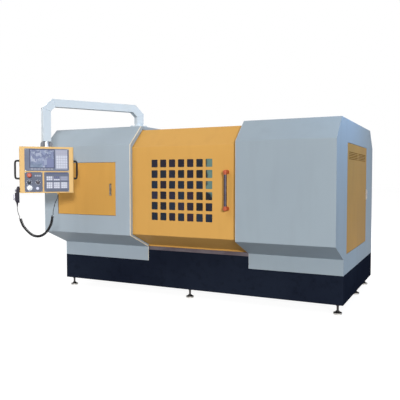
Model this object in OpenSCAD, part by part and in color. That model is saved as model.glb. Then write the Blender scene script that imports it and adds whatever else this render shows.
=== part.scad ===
// Enclosed spinning lathe: a dark welded base, two grey sheet housings with a sliding
// windowed door between them, a bed with headstock, roller carriage and tailstock inside,
// and an operator's pendant that hangs from a swinging arm.
// Machine coordinates: X from the base's left end, Y from the base's front, Z from the floor.

/* [Base] */
// Length of the base, end to end
base_l = 3000; // [2900:50:3800]
// Depth of the base, front to back
base_d = 1600; // [1560:20:2000]
// Gap between the floor and the base
floor_gap = 90; // [60:5:120]
// Height of the base itself
base_h = 255; // [200:5:330]
// Height of the raised apron under the front door
apron_h = 113; // [90:1:118]
// Height of the door sill that lies on the apron
sill_h = 35; // [30:1:40]
// Rows of levelling feet, from the front
foot_rows = [60, 945, 1485];
// How far the end feet stand in from the base's ends
foot_inset = 56; // [50:1:120]
// Radius of a levelling foot's pad
foot_r = 38; // [30:1:50]

/* [Housings] */
// Width of the left housing
left_w = 1060; // [1040:10:1300]
// Width between the two housings
gap_w = 1080; // [1060:10:1300]
// How far the housings' faces stand out before the base
belly = 330; // [300:5:400]
// Height of the upright foot of a housing
skirt_h = 140; // [130:5:180]
// Height of the slope under the face
chin_h = 145; // [120:5:180]
// Height of the upright face
face_h = 870; // [820:10:1100]
// Height of the slope above the face
brow_h = 190; // [160:5:230]
// Depth of the slope above the face
brow_run = 195; // [170:5:220]
// Depth and height of the slope along the back of the roof
rear_run = 190; // [120:10:260]
// Thickness of the sheet
sheet_t = 3; // [2:0.5:4]
// Outer radius of a fold
fold_r = 9; // [6:1:14]

/* [Front door] */
// How far the door's face lies behind the housings' faces
door_back = 44; // [42:1:50]
// Travel of the sliding door
door_travel = 900; // [600:10:900]
// Columns of windows
win_cols = 7; // [5:1:7]
// Rows of windows
win_rows = 6; // [4:1:7]
// Width of one window
win_w = 66; // [50:1:76]
// Height of one window
win_h = 72; // [50:1:80]
// Pitch of the columns
win_px = 94; // [88:1:100]
// Pitch of the rows
win_pz = 99; // [90:1:104]
// Height of the lowest window above the lower fold of the face
win_lift = 156; // [120:2:200]
// Distance from the left housing to the first window
win_x = 212; // [160:2:260]
// Thickness of the pane behind the windows
pane_t = 8; // [5:1:12]
// Length of the door handle
handle_l = 338; // [250:2:420]
// Radius of the handle's rod
handle_r = 13; // [8:0.5:15]
// How far the rod's middle stands before the door
handle_out = 45; // [36:1:60]

/* [Access doors] */
// Distance of the left access door from the housing's end
lad_x = 180; // [120:5:240]
// Height of the left access door above the lower fold of the face
lad_lift = 187; // [60:1:240]
// Width of the left housing's access door
lad_w = 710; // [500:10:760]
// Height of the left housing's access door
lad_h = 515; // [400:5:640]
// Distance of the end access door from the base's front
rad_y = 130; // [90:5:200]
// Height of the end access door above the base
rad_lift = 175; // [120:5:220]
// Width of the end access door
rad_w = 1048; // [800:4:1100]
// Height of the end access door
rad_h = 968; // [700:4:1040]
// Gap round an access door
door_gap = 3; // [2:0.5:5]
// Depth of an access door's folded edge
pan_d = 18; // [14:1:20]
// Number of louvres in the end door
louvres = 5; // [3:1:8]

/* [Lathe] */
// Distance of the spindle's axis from the base's front
sp_y = 480; // [440:5:520]
// Height of the spindle's axis above the bed's ways
swing_z = 400; // [340:5:430]
// Width of the front bed
bed_w = 500; // [460:10:560]
// Height of the front bed with its ways
bed_h = 335; // [300:5:340]
// Radius of the spindle's journals
spindle_r = 55; // [45:1:60]
// Radius of the faceplate
plate_r = 200; // [170:5:230]
// Radius of the spindle's pulley
pulley_r = 150; // [120:5:160]
// Radius of the motor's pulley
motor_pulley_r = 80; // [70:2:90]
// Radius of the forming roller
roller_r = 110; // [90:2:120]
// Angle of the roller's axle to the spindle, in plan
roller_tilt = 20; // [0:5:30]
// Radius of the tailstock's quill
quill_r = 60; // [50:1:70]
// Radius of the pressure pad
pad_r = 90; // [70:2:100]

/* [Pendant] */
// Turn of the pendant's face, seen from above
pend_a = 46; // [20:1:60]
// Width of the pendant
pend_w = 470; // [440:5:520]
// Height of the pendant
pend_h = 416; // [400:2:460]
// Depth of the pendant
pend_d = 150; // [120:5:180]
// Height of the pendant's underside above the floor
pend_z = 1047; // [980:1:1080]
// Width of the square tube of the arm
arm_t = 70; // [60:2:80]
// Reach of the arm from its post to the pendant
arm_reach = 920; // [820:5:1000]
// Direction of the arm, seen from above
arm_a = -123; // [-130:1:-110]
// Height of the boom's top above the roof
arm_h = 210; // [180:5:260]
// Chamfer at the arm's corners
arm_c = 85; // [60:5:100]
// Diameter of the handwheel's cord
cord_d = 5; // [4:0.5:7]
// Outer diameter of the cord's curly stretch
curl_d = 26; // [20:1:28]

/* [Hidden] */
$fn = 64;

// Paint colours
grey_paint = "#A0ACB5";
yellow_paint = "#D9A55A";
base_paint = "#1B1E2B";
casting_paint = "#5F7C78";
steel = "#B8BCC2";
dark_steel = "#5A5E64";
black_plastic = "#1C1C20";
slate_plastic = "#667084";

// Clearances
run_fit = 0.04;   // radial, a shaft that turns or slides in its bore
seat_fit = 0.02;  // radial, a ring pressed on its seat
slip = 0.3;       // between faces that slide past each other

// Heights, from the floor
base_top = floor_gap + base_h;
knee_z = base_top + skirt_h;
chin_z = knee_z + chin_h;
brow_z = chin_z + face_h;
roof_z = brow_z + brow_h;
sill_z = base_top + apron_h;
way_z = base_top + bed_h;
sp_z = way_z + swing_z;

// Stations along the machine
gap_x1 = left_w + gap_w;
plate_x = left_w - 10;          // back of the faceplate
partition_x = left_w - 33;
roof_y = -belly + brow_run;     // fold between the front slope and the roof
roof_edge_y = roof_y + 38;      // front edge of the roof panel

// Line of the front door's outer face, from its toe to its head
brow_lean = brow_run / brow_h;
chin_lean = belly / chin_h;
door_y = -belly + door_back;
toe_y = 16;
door_low = chin_z + 10;
door_high = brow_z - 25;
toe_z = door_low - (toe_y - door_y) / chin_lean;
head_z = roof_z - 38;
head_y = door_y + (head_z - door_high) * brow_lean;
door_line = [[toe_y, toe_z], [door_y, door_low], [door_y, door_high], [head_y, head_z]];
sill_top = sill_z + sill_h;
track_x0 = left_w - door_travel - 40;
rail_y = head_y + 60;
rail_w = 46;
rail_t = 3;
rail_h = 26;
rail_slot = 14;
rail_low = head_z - 34;
mid_drop = 34;                  // how far the middle roof lies below the housings' roofs
track_y0 = 6;

// The pendant's place, at the foot of its arm
post_x = left_w - 70;
post_y = roof_y + 75;
pend_x = post_x + arm_reach * cos(arm_a);
pend_y = post_y + arm_reach * sin(arm_a);
pend_top = pend_z + pend_h;
wheel_d = 38;
wheel_w = 80;
wheel_gap = 4;
wheel_x = -pend_w / 2 - wheel_gap - wheel_d;   // outer face of the handwheel's box
front_y = pend_y + wheel_x * sin(pend_a) - (wheel_w / 2) * cos(pend_a);
mid_y = (front_y + base_d) / 2;

// ---------------------------------------------------------------- outlines

function unit(v) = v / norm(v);
function right_of(v) = [v[1], -v[0]];
function backwards(p) = [for (i = [len(p) - 1 : -1 : 0]) p[i]];
function edge_normal(p, i) = right_of(unit(p[i + 1] - p[i]));

// A path's point moved t to the path's right, on the mitre of its two edges
function mitred(p, i, t) =
    i == 0 ? p[0] + t * edge_normal(p, 0)
    : i == len(p) - 1 ? p[i] + t * edge_normal(p, i - 1)
    : let (a = edge_normal(p, i - 1), b = edge_normal(p, i)) p[i] + t * (a + b) / (1 + a * b);
function inset(p, t) = [for (i = [0 : len(p) - 1]) mitred(p, i, t)];

// Each inner corner of a path becomes a bend of radius r in four steps
function bend_at(p, i, r) =
    let (
        a = unit(p[i] - p[i - 1]),
        b = unit(p[i + 1] - p[i]),
        reach = r * sqrt((1 - a * b) / (1 + a * b)),
        from = p[i] - reach * a,
        to = p[i] + reach * b
    )
    [for (s = [0 : 0.25 : 1]) (1 - s) * (1 - s) * from + 2 * s * (1 - s) * p[i] + s * s * to];
function folded(p, r) = [
    p[0],
    for (i = [1 : len(p) - 2]) each bend_at(p, i, r),
    p[len(p) - 1],
];

// Outline of a sheet of thickness t, whose outer face follows the path
function sheet(p, t) = concat(p, backwards(inset(p, t)));

// ---------------------------------------------------------------- placing

module machine() {
    translate([-base_l / 2, -mid_y, 0]) children();
}

// A YZ outline carried along X
module along_x(x0, x1) {
    translate([x0, 0, 0]) rotate([90, 0, 90]) linear_extrude(x1 - x0) children();
}

// An XZ outline carried along Y
module along_y(y0, y1) {
    translate([0, y1, 0]) rotate([90, 0, 0]) linear_extrude(y1 - y0) children();
}

module block(low, high) {
    translate(low) cube(high - low);
}

// A bar or bore along X, between two stations
module x_rod(x0, x1, r) {
    translate([x0, 0, 0]) rotate([0, 90, 0]) cylinder(r = r, h = x1 - x0);
}

module y_rod(y0, y1, r) {
    translate([0, y1, 0]) rotate([90, 0, 0]) cylinder(r = r, h = y1 - y0);
}

// A turned piece: pairs of [station along X, radius]
module x_turned(profile) {
    rotate([0, 90, 0]) rotate_extrude()
        polygon(concat([[0, profile[0][0]]], [for (p = profile) [p[1], p[0]]],
                       [[0, profile[len(profile) - 1][0]]]));
}

module rounded_rect(w, h, r, step = 15) {
    polygon([
        for (c = [[w - r, r, 270], [w - r, h - r, 0], [r, h - r, 90], [r, r, 180]], s = [0 : step : 90])
            [c[0] + r * cos(c[2] + s), c[1] + r * sin(c[2] + s)]
    ]);
}

module on_spindle() {
    translate([0, sp_y, sp_z]) children();
}

module at_pendant() {
    translate([pend_x, pend_y, 0]) rotate([0, 0, pend_a]) children();
}

// A slideway with chamfered top edges
module slideway(x0, x1, y, w, low, high) {
    c = 5;
    along_x(x0, x1) polygon([
        [y, low], [y + w, low], [y + w, high - c],
        [y + w - c, high], [y + c, high], [y, high - c],
    ]);
}

// ---------------------------------------------------------------- base and bed

module base_frame() {
    stud_hole_z = 72;
    color(base_paint) machine() difference() {
        union() {
            block([0, 0, floor_gap], [base_l, base_d, base_top]);
            block([left_w, 0, base_top], [gap_x1, 60, sill_z]);
            block([track_x0, track_y0, base_top], [left_w + 1, 60, sill_z]);
        }
        for (x = foot_columns(), y = foot_rows)
            translate([x, y, floor_gap - 1]) cylinder(r = stud_r + seat_fit, h = stud_hole_z);
    }
}

stud_r = 10;
function foot_columns() = [foot_inset, base_l / 2, base_l - foot_inset];

module levelling_feet() {
    nut_h = 16;
    color(dark_steel) machine() for (x = foot_columns(), y = foot_rows) translate([x, y, 0]) {
        rotate_extrude() polygon([
            [0, 0], [foot_r - 2, 0], [foot_r, 2], [foot_r, 14], [foot_r - 3, 17],
            [22, 21], [16, 30], [stud_r, 30], [stud_r, floor_gap + 70], [0, floor_gap + 70],
        ]);
        translate([0, 0, floor_gap - nut_h]) cylinder(r = 17, h = nut_h, $fn = 6);
    }
}

bed_x0 = 150;
bed_x1 = base_l - 250;
bed_y0 = sp_y - bed_w / 2;
bed_y1 = sp_y + bed_w / 2;
rear_x0 = left_w - 20;
rear_x1 = base_l - 870;
rear_y1 = bed_y1 + 710;
rear_top = base_top + 235;      // top of the rear bed, under its ways
way_h = 20;
saddle_z = rear_top + way_h;
screw_y = bed_y1 + 390;         // carriage screw, between the rear ways
ways_half = 300;                // from the screw to the rear ways' outer sides
rear_way = 80;
screw_z = rear_top - 45;
saddle_screw_r = 18;
trough_w = 90;
bed_foot_w = 25;                // ledge round the beds' foot, and its thickness
bed_foot_t = 35;

module bed_casting() {
    front_way = 80;
    core_w = 260;
    core_h = 150;
    core_pitch = 400;
    cores = floor((bed_x1 - bed_x0 - 140) / core_pitch);
    trough_end = 25;
    shoulder = 14;
    color(casting_paint) machine() difference() {
        union() {
            along_x(bed_x0, bed_x1) polygon([
                [bed_y0 - bed_foot_w, base_top], [bed_y1 + bed_foot_w, base_top],
                [bed_y1 + bed_foot_w, base_top + bed_foot_t], [bed_y1, base_top + bed_foot_t + 12],
                [bed_y1, way_z - way_h - shoulder], [bed_y1 - shoulder, way_z - way_h],
                [bed_y0 + shoulder, way_z - way_h], [bed_y0, way_z - way_h - shoulder],
                [bed_y0, base_top + bed_foot_t + 12], [bed_y0 - bed_foot_w, base_top + bed_foot_t],
            ]);
            for (y = [bed_y0 + 20, bed_y1 - 20 - front_way])
                slideway(bed_x0, bed_x1, y, front_way, way_z - way_h - 1, way_z);
            along_x(rear_x0, rear_x1) polygon([
                [bed_y1 - 1, base_top], [rear_y1 + bed_foot_w, base_top],
                [rear_y1 + bed_foot_w, base_top + bed_foot_t], [rear_y1, base_top + bed_foot_t + 12],
                [rear_y1, rear_top - shoulder], [rear_y1 - shoulder, rear_top], [bed_y1 - 1, rear_top],
            ]);
            for (y = [screw_y - ways_half, screw_y + ways_half - rear_way])
                slideway(rear_x0, rear_x1, y, rear_way, rear_top - 1, saddle_z);
        }
        for (i = [0 : cores - 1])
            translate([bed_x0 + 110 + i * core_pitch, 0, base_top + 60])
                along_y(bed_y0 - 1, i * core_pitch + bed_x0 + 110 + core_w < rear_x0
                        || i * core_pitch + bed_x0 + 110 > rear_x1 ? bed_y1 + 1 : bed_y1 - 60)
                    rounded_rect(core_w, core_h, 30);
        block([bed_x0 - 1, sp_y - 90, way_z - 75], [bed_x1 + 1, sp_y + 90, way_z + 1]);
        block([rear_x0 + trough_end, screw_y - trough_w / 2, rear_top - 95],
              [rear_x1 - trough_end, screw_y + trough_w / 2, rear_top + 1]);
        translate([0, screw_y, screw_z]) {
            x_rod(rear_x0 - 1, rear_x0 + trough_end + 1, 12 + run_fit);
            x_rod(rear_x1 - trough_end - 1, rear_x1 + 1, saddle_screw_r + 1);
        }
    }
}

// ---------------------------------------------------------------- headstock and drive

head_x1 = left_w - 70;
head_x0 = head_x1 - 620;
bearing_r = 90;
front_bearing_w = 60;
bearing_inset = 12;
pulley_x0 = head_x0 - 165;
pulley_w = 90;
rim = 5;

// Section of a casting that carries a bore of radius r over the front ways
module pedestal(r, foot_w, neck_w) {
    foot_h = 40;
    translate([sp_y, sp_z]) circle(r);
    polygon([
        [sp_y - foot_w / 2, way_z], [sp_y + foot_w / 2, way_z],
        [sp_y + foot_w / 2, way_z + foot_h], [sp_y + neck_w / 2, sp_z],
        [sp_y - neck_w / 2, sp_z], [sp_y - foot_w / 2, way_z + foot_h],
    ]);
}

module headstock() {
    color(casting_paint) machine() difference() {
        union() {
            along_x(head_x0, head_x1) pedestal(165, 440, 290);
            for (x = [head_x0 + 80, head_x1 - 104]) along_x(x, x + 24) pedestal(180, 440, 330);
            on_spindle() x_rod(head_x0 - 12, head_x0 + 1, 130);
            on_spindle() x_rod(head_x1 - 1, head_x1 + 12, 130);
            on_spindle() x_rod(head_x1 + 11, head_x1 + 18, 108);
            block([head_x0 + 120, sp_y - 60, sp_z + 120], [head_x1 - 120, sp_y + 60, sp_z + 190]);
        }
        on_spindle() {
            x_rod(head_x0 - 20, head_x1 + 20, spindle_r + 12);
            x_rod(head_x0 - 20, head_x0 + front_bearing_w, bearing_r);
            x_rod(head_x1 - front_bearing_w, head_x1 + 20, bearing_r);
        }
    }
}

// Angular-contact bearings, one at each end of the headstock
module spindle_bearings() {
    color(steel) machine() on_spindle()
        for (x = [head_x0, head_x1 - front_bearing_w]) translate([x, 0, 0])
            rotate([0, 90, 0]) rotate_extrude() polygon([
                [spindle_r + run_fit, 0], [bearing_r - 14, 0], [bearing_r - 14, 4],
                [bearing_r - 8, 4], [bearing_r - 8, 0], [bearing_r - seat_fit, 0],
                [bearing_r - seat_fit, front_bearing_w], [spindle_r + run_fit, front_bearing_w],
            ]);
}

flange_r = 95;
nose_bore = 25;
nose_t = 40;

module spindle() {
    color(steel) machine() on_spindle() difference() {
        x_turned([
            [pulley_x0 - 15, spindle_r - 8], [pulley_x0, spindle_r], [plate_x - nose_t, spindle_r],
            [plate_x - nose_t, flange_r], [plate_x, flange_r],
        ]);
        x_rod(pulley_x0 - 20, plate_x + 1, nose_bore);
    }
}

plate_t = 50;
former_bore = 40;
former_pcd = 280;
former_hole = 8.5;
former_holes = 8;

// Cast faceplate that carries the former: tapped holes on a circle and six through slots
module faceplate() {
    slot_w = 18;
    slot_from = 70;
    slot_to = 115;
    color(steel) machine() on_spindle() difference() {
        x_turned([
            [plate_x, plate_r - 40], [plate_x + 15, plate_r], [plate_x + plate_t - 3, plate_r],
            [plate_x + plate_t, plate_r - 3],
        ]);
        x_rod(plate_x - 1, plate_x + plate_t + 1, former_bore);
        for (i = [0 : former_holes - 1]) rotate([i * 360 / former_holes, 0, 0])
            translate([0, former_pcd / 2, 0])
                x_rod(plate_x - 1, plate_x + plate_t + 1, former_hole);
        for (i = [0 : 5]) rotate([i * 60 + 30, 0, 0])
            translate([plate_x + plate_t - 22, slot_from, -slot_w / 2])
                cube([23, slot_to - slot_from, slot_w]);
    }
}

// A flat-belt pulley with two flanges, from x0, with hub and dished web
module pulley(x0, r, bore, hub) {
    rotate([0, 90, 0]) translate([0, 0, x0]) rotate_extrude() polygon([
        [bore, 0], [hub, 0], [hub, 22], [r - 22, 22], [r - 22, 0], [r + rim, 0],
        [r + rim, 4], [r, 4], [r, pulley_w - 4], [r + rim, pulley_w - 4], [r + rim, pulley_w],
        [r - 22, pulley_w], [r - 22, pulley_w - 22], [hub, pulley_w - 22], [hub, pulley_w],
        [bore, pulley_w],
    ]);
}

module spindle_pulley() {
    color(dark_steel) machine() on_spindle()
        pulley(pulley_x0, pulley_r, spindle_r + seat_fit, spindle_r + 30);
}

motor_y = sp_y + 600;
motor_r = 165;
motor_z = base_top + 40 + motor_r + 25;
motor_shaft_r = 24;

module motor_pulley() {
    color(dark_steel) machine() translate([0, motor_y, motor_z]) {
        pulley(pulley_x0, motor_pulley_r, 0, motor_shaft_r + 16);
        x_rod(pulley_x0 + pulley_w - 1, head_x0 + 70, motor_shaft_r);
    }
}

belt_t = 7;

// Flat belt round both pulleys
module drive_belt() {
    gap = 0.4;
    color(black_plastic) machine() along_x(pulley_x0 + 6, pulley_x0 + pulley_w - 6) difference() {
        hull() {
            translate([sp_y, sp_z]) circle(pulley_r + gap + belt_t, $fn = 96);
            translate([motor_y, motor_z]) circle(motor_pulley_r + gap + belt_t, $fn = 96);
        }
        hull() {
            translate([sp_y, sp_z]) circle(pulley_r + gap, $fn = 96);
            translate([motor_y, motor_z]) circle(motor_pulley_r + gap, $fn = 96);
        }
    }
}

// Foot-mounted motor with a finned frame, end shields, fan cowl and terminal box
module main_motor() {
    fins = 40;
    fin_h = 16;
    frame_x0 = head_x0 + 20;
    frame_l = 380;
    color("#4E6A72") machine() difference() {
        union() {
            translate([0, motor_y, motor_z]) {
                along_x(frame_x0 + 40, frame_x0 + 40 + frame_l) polygon([
                    for (i = [0 : fins - 1], k = [[-2.4, motor_r - fin_h], [-1.4, motor_r],
                                                  [1.4, motor_r], [2.4, motor_r - fin_h]])
                        k[1] * [cos(i * 360 / fins + k[0]), sin(i * 360 / fins + k[0])]
                ]);
                x_rod(frame_x0, frame_x0 + 41, motor_r - 4);
                x_rod(frame_x0 + 39 + frame_l, frame_x0 + 150 + frame_l, motor_r - 2);
            }
            block([frame_x0 + 60, motor_y - 160, base_top],
                  [frame_x0 + 360, motor_y + 160, base_top + 40]);
            block([frame_x0 + 80, motor_y - 130, base_top + 39],
                  [frame_x0 + 340, motor_y - 70, motor_z - 90]);
            block([frame_x0 + 80, motor_y + 70, base_top + 39],
                  [frame_x0 + 340, motor_y + 130, motor_z - 90]);
            block([frame_x0 + 120, motor_y - 60, motor_z + motor_r - 30],
                  [frame_x0 + 280, motor_y + 60, motor_z + motor_r + 55]);
        }
        translate([0, motor_y, motor_z]) x_rod(frame_x0 - 1, frame_x0 + 60, motor_shaft_r + run_fit);
    }
}

// ---------------------------------------------------------------- roller carriage

saddle_x0 = left_w + 140;
saddle_l = 420;
saddle_y0 = screw_y - 280;
saddle_y1 = screw_y + 280;
saddle_h = 120;
saddle_top = saddle_z + slip + saddle_h;
saddle_mid = saddle_x0 + saddle_l / 2;
cross_z = saddle_top - 28;
cross_screw_r = 16;
channel_w = 80;
lug_l = 60;

// The saddle; a keep strip under it guides it along the inner side of each way
module saddle() {
    end_wall = 20;
    keep_w = 24;
    color(casting_paint) machine() {
        difference() {
            union() {
                along_y(saddle_y0, saddle_y1) polygon([
                    [saddle_x0, saddle_z + slip], [saddle_x0 + saddle_l, saddle_z + slip],
                    [saddle_x0 + saddle_l, saddle_top - 10], [saddle_x0 + saddle_l - 10, saddle_top],
                    [saddle_x0 + 10, saddle_top], [saddle_x0, saddle_top - 10],
                ]);
                for (y = [screw_y - ways_half + rear_way + slip,
                          screw_y + ways_half - rear_way - slip - keep_w])
                    block([saddle_x0 + 15, y, rear_top + 4],
                          [saddle_x0 + saddle_l - 15, y + keep_w, saddle_z + slip + 1]);
                block([saddle_mid - lug_l, screw_y - 32, screw_z - 32],
                      [saddle_mid + lug_l, screw_y + 32, saddle_z + slip + 1]);
            }
            block([saddle_mid - channel_w / 2, saddle_y0 + end_wall, saddle_top - 60],
                  [saddle_mid + channel_w / 2, saddle_y1 - end_wall, saddle_top + 1]);
            translate([saddle_mid, 0, cross_z]) {
                y_rod(saddle_y0 - 1, saddle_y0 + end_wall + 1, 12 + run_fit);
                y_rod(saddle_y1 - end_wall - 1, saddle_y1 + 1, cross_screw_r + 1);
            }
            translate([0, screw_y, screw_z])
                x_rod(saddle_mid - lug_l - 1, saddle_mid + lug_l + 1, saddle_screw_r + run_fit);
        }
    }
}

module saddle_screw() {
    color(steel) machine() translate([0, screw_y, screw_z]) x_turned([
        [rear_x0 + 5, 12], [rear_x0 + 26, 12], [rear_x0 + 26, saddle_screw_r],
        [rear_x1 - 5, saddle_screw_r], [rear_x1 - 5, 12], [rear_x1 + 30, 12],
    ]);
}

// A servo motor: square flange and body, round shaft end with a bore for the screw
module servo(size, length, bore, bore_l) {
    difference() {
        union() {
            along_x(0, 14) translate([-size / 2, -size / 2]) rounded_rect(size, size, 6);
            along_x(13, length - 60) translate([-size * 0.44, -size * 0.44])
                rounded_rect(size * 0.88, size * 0.88, 12);
            along_x(length - 61, length) translate([-size * 0.38, -size * 0.38])
                rounded_rect(size * 0.76, size * 0.76, 8);
            block([length - 100, -18, size * 0.4], [length - 50, 18, size * 0.58]);
        }
        x_rod(-1, bore_l, bore + run_fit);
    }
}

module saddle_motor() {
    color(black_plastic) machine() translate([rear_x1, screw_y, screw_z])
        servo(86, 170, 12, 34);
}

cross_l = 500;
cross_y0 = saddle_y0 + 20;
cross_t = 90;
cross_x0 = saddle_x0 + 30;
cross_x1 = saddle_x0 + saddle_l - 60;
column_x0 = saddle_x0 + 40;
column_x1 = column_x0 + 240;
column_y0 = cross_y0 + 200;
column_y1 = column_y0 + 180;
column_top = sp_z + 340;
roller_x = (column_x0 + column_x1) / 2;

// Cross slide with its tool column cast on: a ribbed upright that faces the spindle
module cross_slide() {
    slide_top = saddle_top + slip + cross_t;
    color(casting_paint) machine() difference() {
        union() {
            block([cross_x0, cross_y0, saddle_top + slip], [cross_x1, cross_y0 + cross_l, slide_top]);
            block([saddle_mid - 30, cross_y0 + 190, cross_z - 24],
                  [saddle_mid + 30, cross_y0 + 260, saddle_top + slip + 1]);
            along_x(column_x0, column_x1) polygon([
                [column_y0, slide_top - 1], [column_y1 + 110, slide_top - 1],
                [column_y1 + 50, sp_z - 80], [column_y1, column_top - 60],
                [column_y1 - 50, column_top], [column_y0 + 20, column_top],
                [column_y0, column_top - 20],
            ]);
        }
        for (z = [slide_top + 70, sp_z + 130]) translate([0, 0, z])
            block([column_x0 - 1, column_y0 + 60, 0], [column_x0 + 70, column_y1 - 30, 130]);
        for (z = [slide_top + 70, sp_z + 130]) translate([0, 0, z])
            block([column_x1 - 70, column_y0 + 60, 0], [column_x1 + 1, column_y1 - 30, 130]);
        translate([saddle_mid, 0, cross_z])
            y_rod(cross_y0 + 180, cross_y0 + 270, cross_screw_r + run_fit);
        for (z = [sp_z - 140, sp_z + 112]) {
            block([column_x0 - 1, column_y0 - 1, z], [column_x1 + 1, column_y0 + 14, z + 18]);
            block([column_x0 - 1, column_y0 + 13, z - 8], [column_x1 + 1, column_y0 + 26, z + 26]);
        }
    }
}

module cross_screw() {
    color(steel) machine() translate([saddle_mid, 0, cross_z]) rotate([0, 0, 90]) x_turned([
        [saddle_y0 + 4, 12], [saddle_y0 + 22, 12], [saddle_y0 + 22, cross_screw_r],
        [saddle_y1 - 4, cross_screw_r], [saddle_y1 - 4, 12], [saddle_y1 + 30, 12],
    ]);
}

module cross_motor() {
    color(black_plastic) machine() translate([saddle_mid, saddle_y1, cross_z])
        rotate([0, 0, 90]) servo(80, 160, 12, 34);
}

roller_t = 46;
journal_r = 18;
fork_arm = 24;
fork_gap = 1.5;
roller_y = column_y0 - roller_r - 65;

module at_roller() {
    translate([roller_x, roller_y, sp_z]) rotate([0, 0, roller_tilt]) children();
}

// Forked holder, bolted to the column's face; the roller's journals turn in its arms
module roller_fork() {
    inner = roller_t / 2 + fork_gap;
    outer = inner + fork_arm;
    color(dark_steel) machine() difference() {
        union() {
            intersection() {
                at_roller() {
                    for (x = [inner, -outer]) {
                        x_rod(x, x + fork_arm, 48);
                        block([x, 0, -48], [x + fork_arm, roller_r + 30, 48]);
                    }
                    block([-outer, roller_r + 8, -48], [outer, roller_r + 120, 48]);
                }
                block([roller_x - 200, roller_y - 200, sp_z - 100],
                      [roller_x + 200, column_y0 - 24, sp_z + 100]);
            }
            block([roller_x - 100, column_y0 - 25, sp_z - 80], [roller_x + 100, column_y0, sp_z + 80]);
        }
        at_roller() x_rod(-outer - 1, outer + 1, journal_r + run_fit);
    }
}

// Hardened forming roller with a rounded nose and journals in one piece
module forming_roller() {
    half = roller_t / 2;
    nose = 16;
    end = half + fork_gap + fork_arm + 6;
    color(steel) machine() at_roller() x_turned([
        [-end, journal_r - 2], [-end + 2, journal_r], [-half, journal_r], [-half, roller_r - 34],
        for (a = [-80 : 20 : 80]) [nose * sin(a), roller_r - nose + nose * cos(a)],
        [half, roller_r - 34], [half, journal_r], [end - 2, journal_r], [end, journal_r - 2],
    ]);
}

// ---------------------------------------------------------------- tailstock

tail_l = 480;
tail_x1 = base_l - 520;
tail_x0 = tail_x1 - tail_l;
quill_x0 = tail_x0 - 120;
rod_r = 25;
shank_r = 30;
shank_l = 100;

module tailstock() {
    color(casting_paint) machine() difference() {
        union() {
            along_x(tail_x0, tail_x1) pedestal(120, 420, 210);
            for (x = [tail_x0 + 36, tail_x1 - 60]) along_x(x, x + 24) pedestal(132, 420, 246);
            translate([tail_x0 + 150, sp_y, sp_z + 110]) {
                cylinder(r = 28, h = 34);
                cylinder(r = 17, h = 48, $fn = 6);
            }
            on_spindle() x_rod(tail_x0 - 10, tail_x0 + 1, 95);
        }
        on_spindle() x_rod(tail_x0 - 11, tail_x1 + 1, quill_r + run_fit);
        for (y = [sp_y - 190, sp_y + 150])
            block([tail_x0 + 60, y, way_z + 41], [tail_x1 - 60, y + 40, way_z + 60]);
    }
}

quill_travel = 300;
quill_tail = tail_x1 - 30;

module quill() {
    color(steel) machine() on_spindle() difference() {
        x_turned([
            [quill_x0, quill_r - 4], [quill_x0 + 4, quill_r], [quill_tail, quill_r],
            [quill_tail, rod_r], [quill_tail + quill_travel + 80, rod_r],
        ]);
        x_rod(quill_x0 - 1, quill_x0 + shank_l + 10, shank_r + run_fit);
    }
}

// Hydraulic cylinder that pushes the quill: square heads, round barrel and four tie rods
module tailstock_cylinder() {
    barrel_l = quill_travel + 60;
    head_t = 35;
    head = 150;
    color(dark_steel) machine() on_spindle() difference() {
        union() {
            for (x = [tail_x1, tail_x1 + barrel_l - head_t]) along_x(x, x + head_t)
                translate([-head / 2, -head / 2]) rounded_rect(head, head, 8);
            x_rod(tail_x1 + head_t - 1, tail_x1 + barrel_l - head_t + 1, head / 2 - 10);
            for (y = [-1, 1], z = [-1, 1]) translate([0, y * (head / 2 - 12), z * (head / 2 - 12)])
                x_rod(tail_x1 + 5, tail_x1 + barrel_l + 12, 7);
            for (x = [head_t / 2, barrel_l - head_t / 2]) translate([tail_x1 + x, 0, head / 2 - 1]) {
                cylinder(r = 12, h = 26);
                cylinder(r = 15, h = 12, $fn = 6);
            }
        }
        x_rod(tail_x1 - 1, tail_x1 + barrel_l - 8, rod_r + run_fit);
    }
}

// Pressure pad on a live centre
module pressure_pad() {
    color(steel) machine() on_spindle() x_turned([
        [quill_x0 - 120, pad_r - 4], [quill_x0 - 116, pad_r], [quill_x0 - 85, pad_r],
        [quill_x0 - 60, 48], [quill_x0 - 4, 48], [quill_x0 - 4, shank_r],
        [quill_x0 + shank_l, shank_r],
    ]);
}

// Electrical cabinet on the base in the right housing, with a door, a vent and cable entries
module control_cabinet() {
    w = 520;
    d = 560;
    h = 930;
    x0 = base_l - 100 - w;
    y0 = sp_y + 420;
    color("#C9CCC6") machine() {
        difference() {
            block([x0, y0, base_top], [x0 + w, y0 + d, base_top + h]);
            for (i = [0 : 7]) block([x0 + w - 4, y0 + 80, base_top + 720 + i * 18],
                                    [x0 + w + 1, y0 + d - 80, base_top + 728 + i * 18]);
        }
        block([x0 + w, y0 + 14, base_top + 30], [x0 + w + 8, y0 + d - 14, base_top + 690]);
        translate([x0 + w + 7, y0 + 40, base_top + 340])
            block([0, 0, 0], [14, 24, 90]);
        for (i = [0 : 3]) translate([0, y0 + 120 + i * 90, base_top + 200])
            x_rod(x0 - 22, x0 + 1, 14);
    }
}

// ---------------------------------------------------------------- sheet housings

// Outer face of a housing, from the base up the front, over the roof and down the back
front_path = [
    [0, base_top], [0, knee_z], [-belly, chin_z], [-belly, brow_z], [roof_y, roof_z],
    [roof_edge_y, roof_z],
];
rear_path = [[roof_edge_y, roof_z], [base_d - rear_run, roof_z], [base_d, roof_z - rear_run],
             [base_d, roof_z - rear_run - 40]];
shell_path = concat([for (i = [0 : 4]) front_path[i]], [for (i = [1, 2]) rear_path[i]],
                    [[base_d, base_top]]);
lip_gap = 4;    // between a housing's flange and the door behind it

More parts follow.
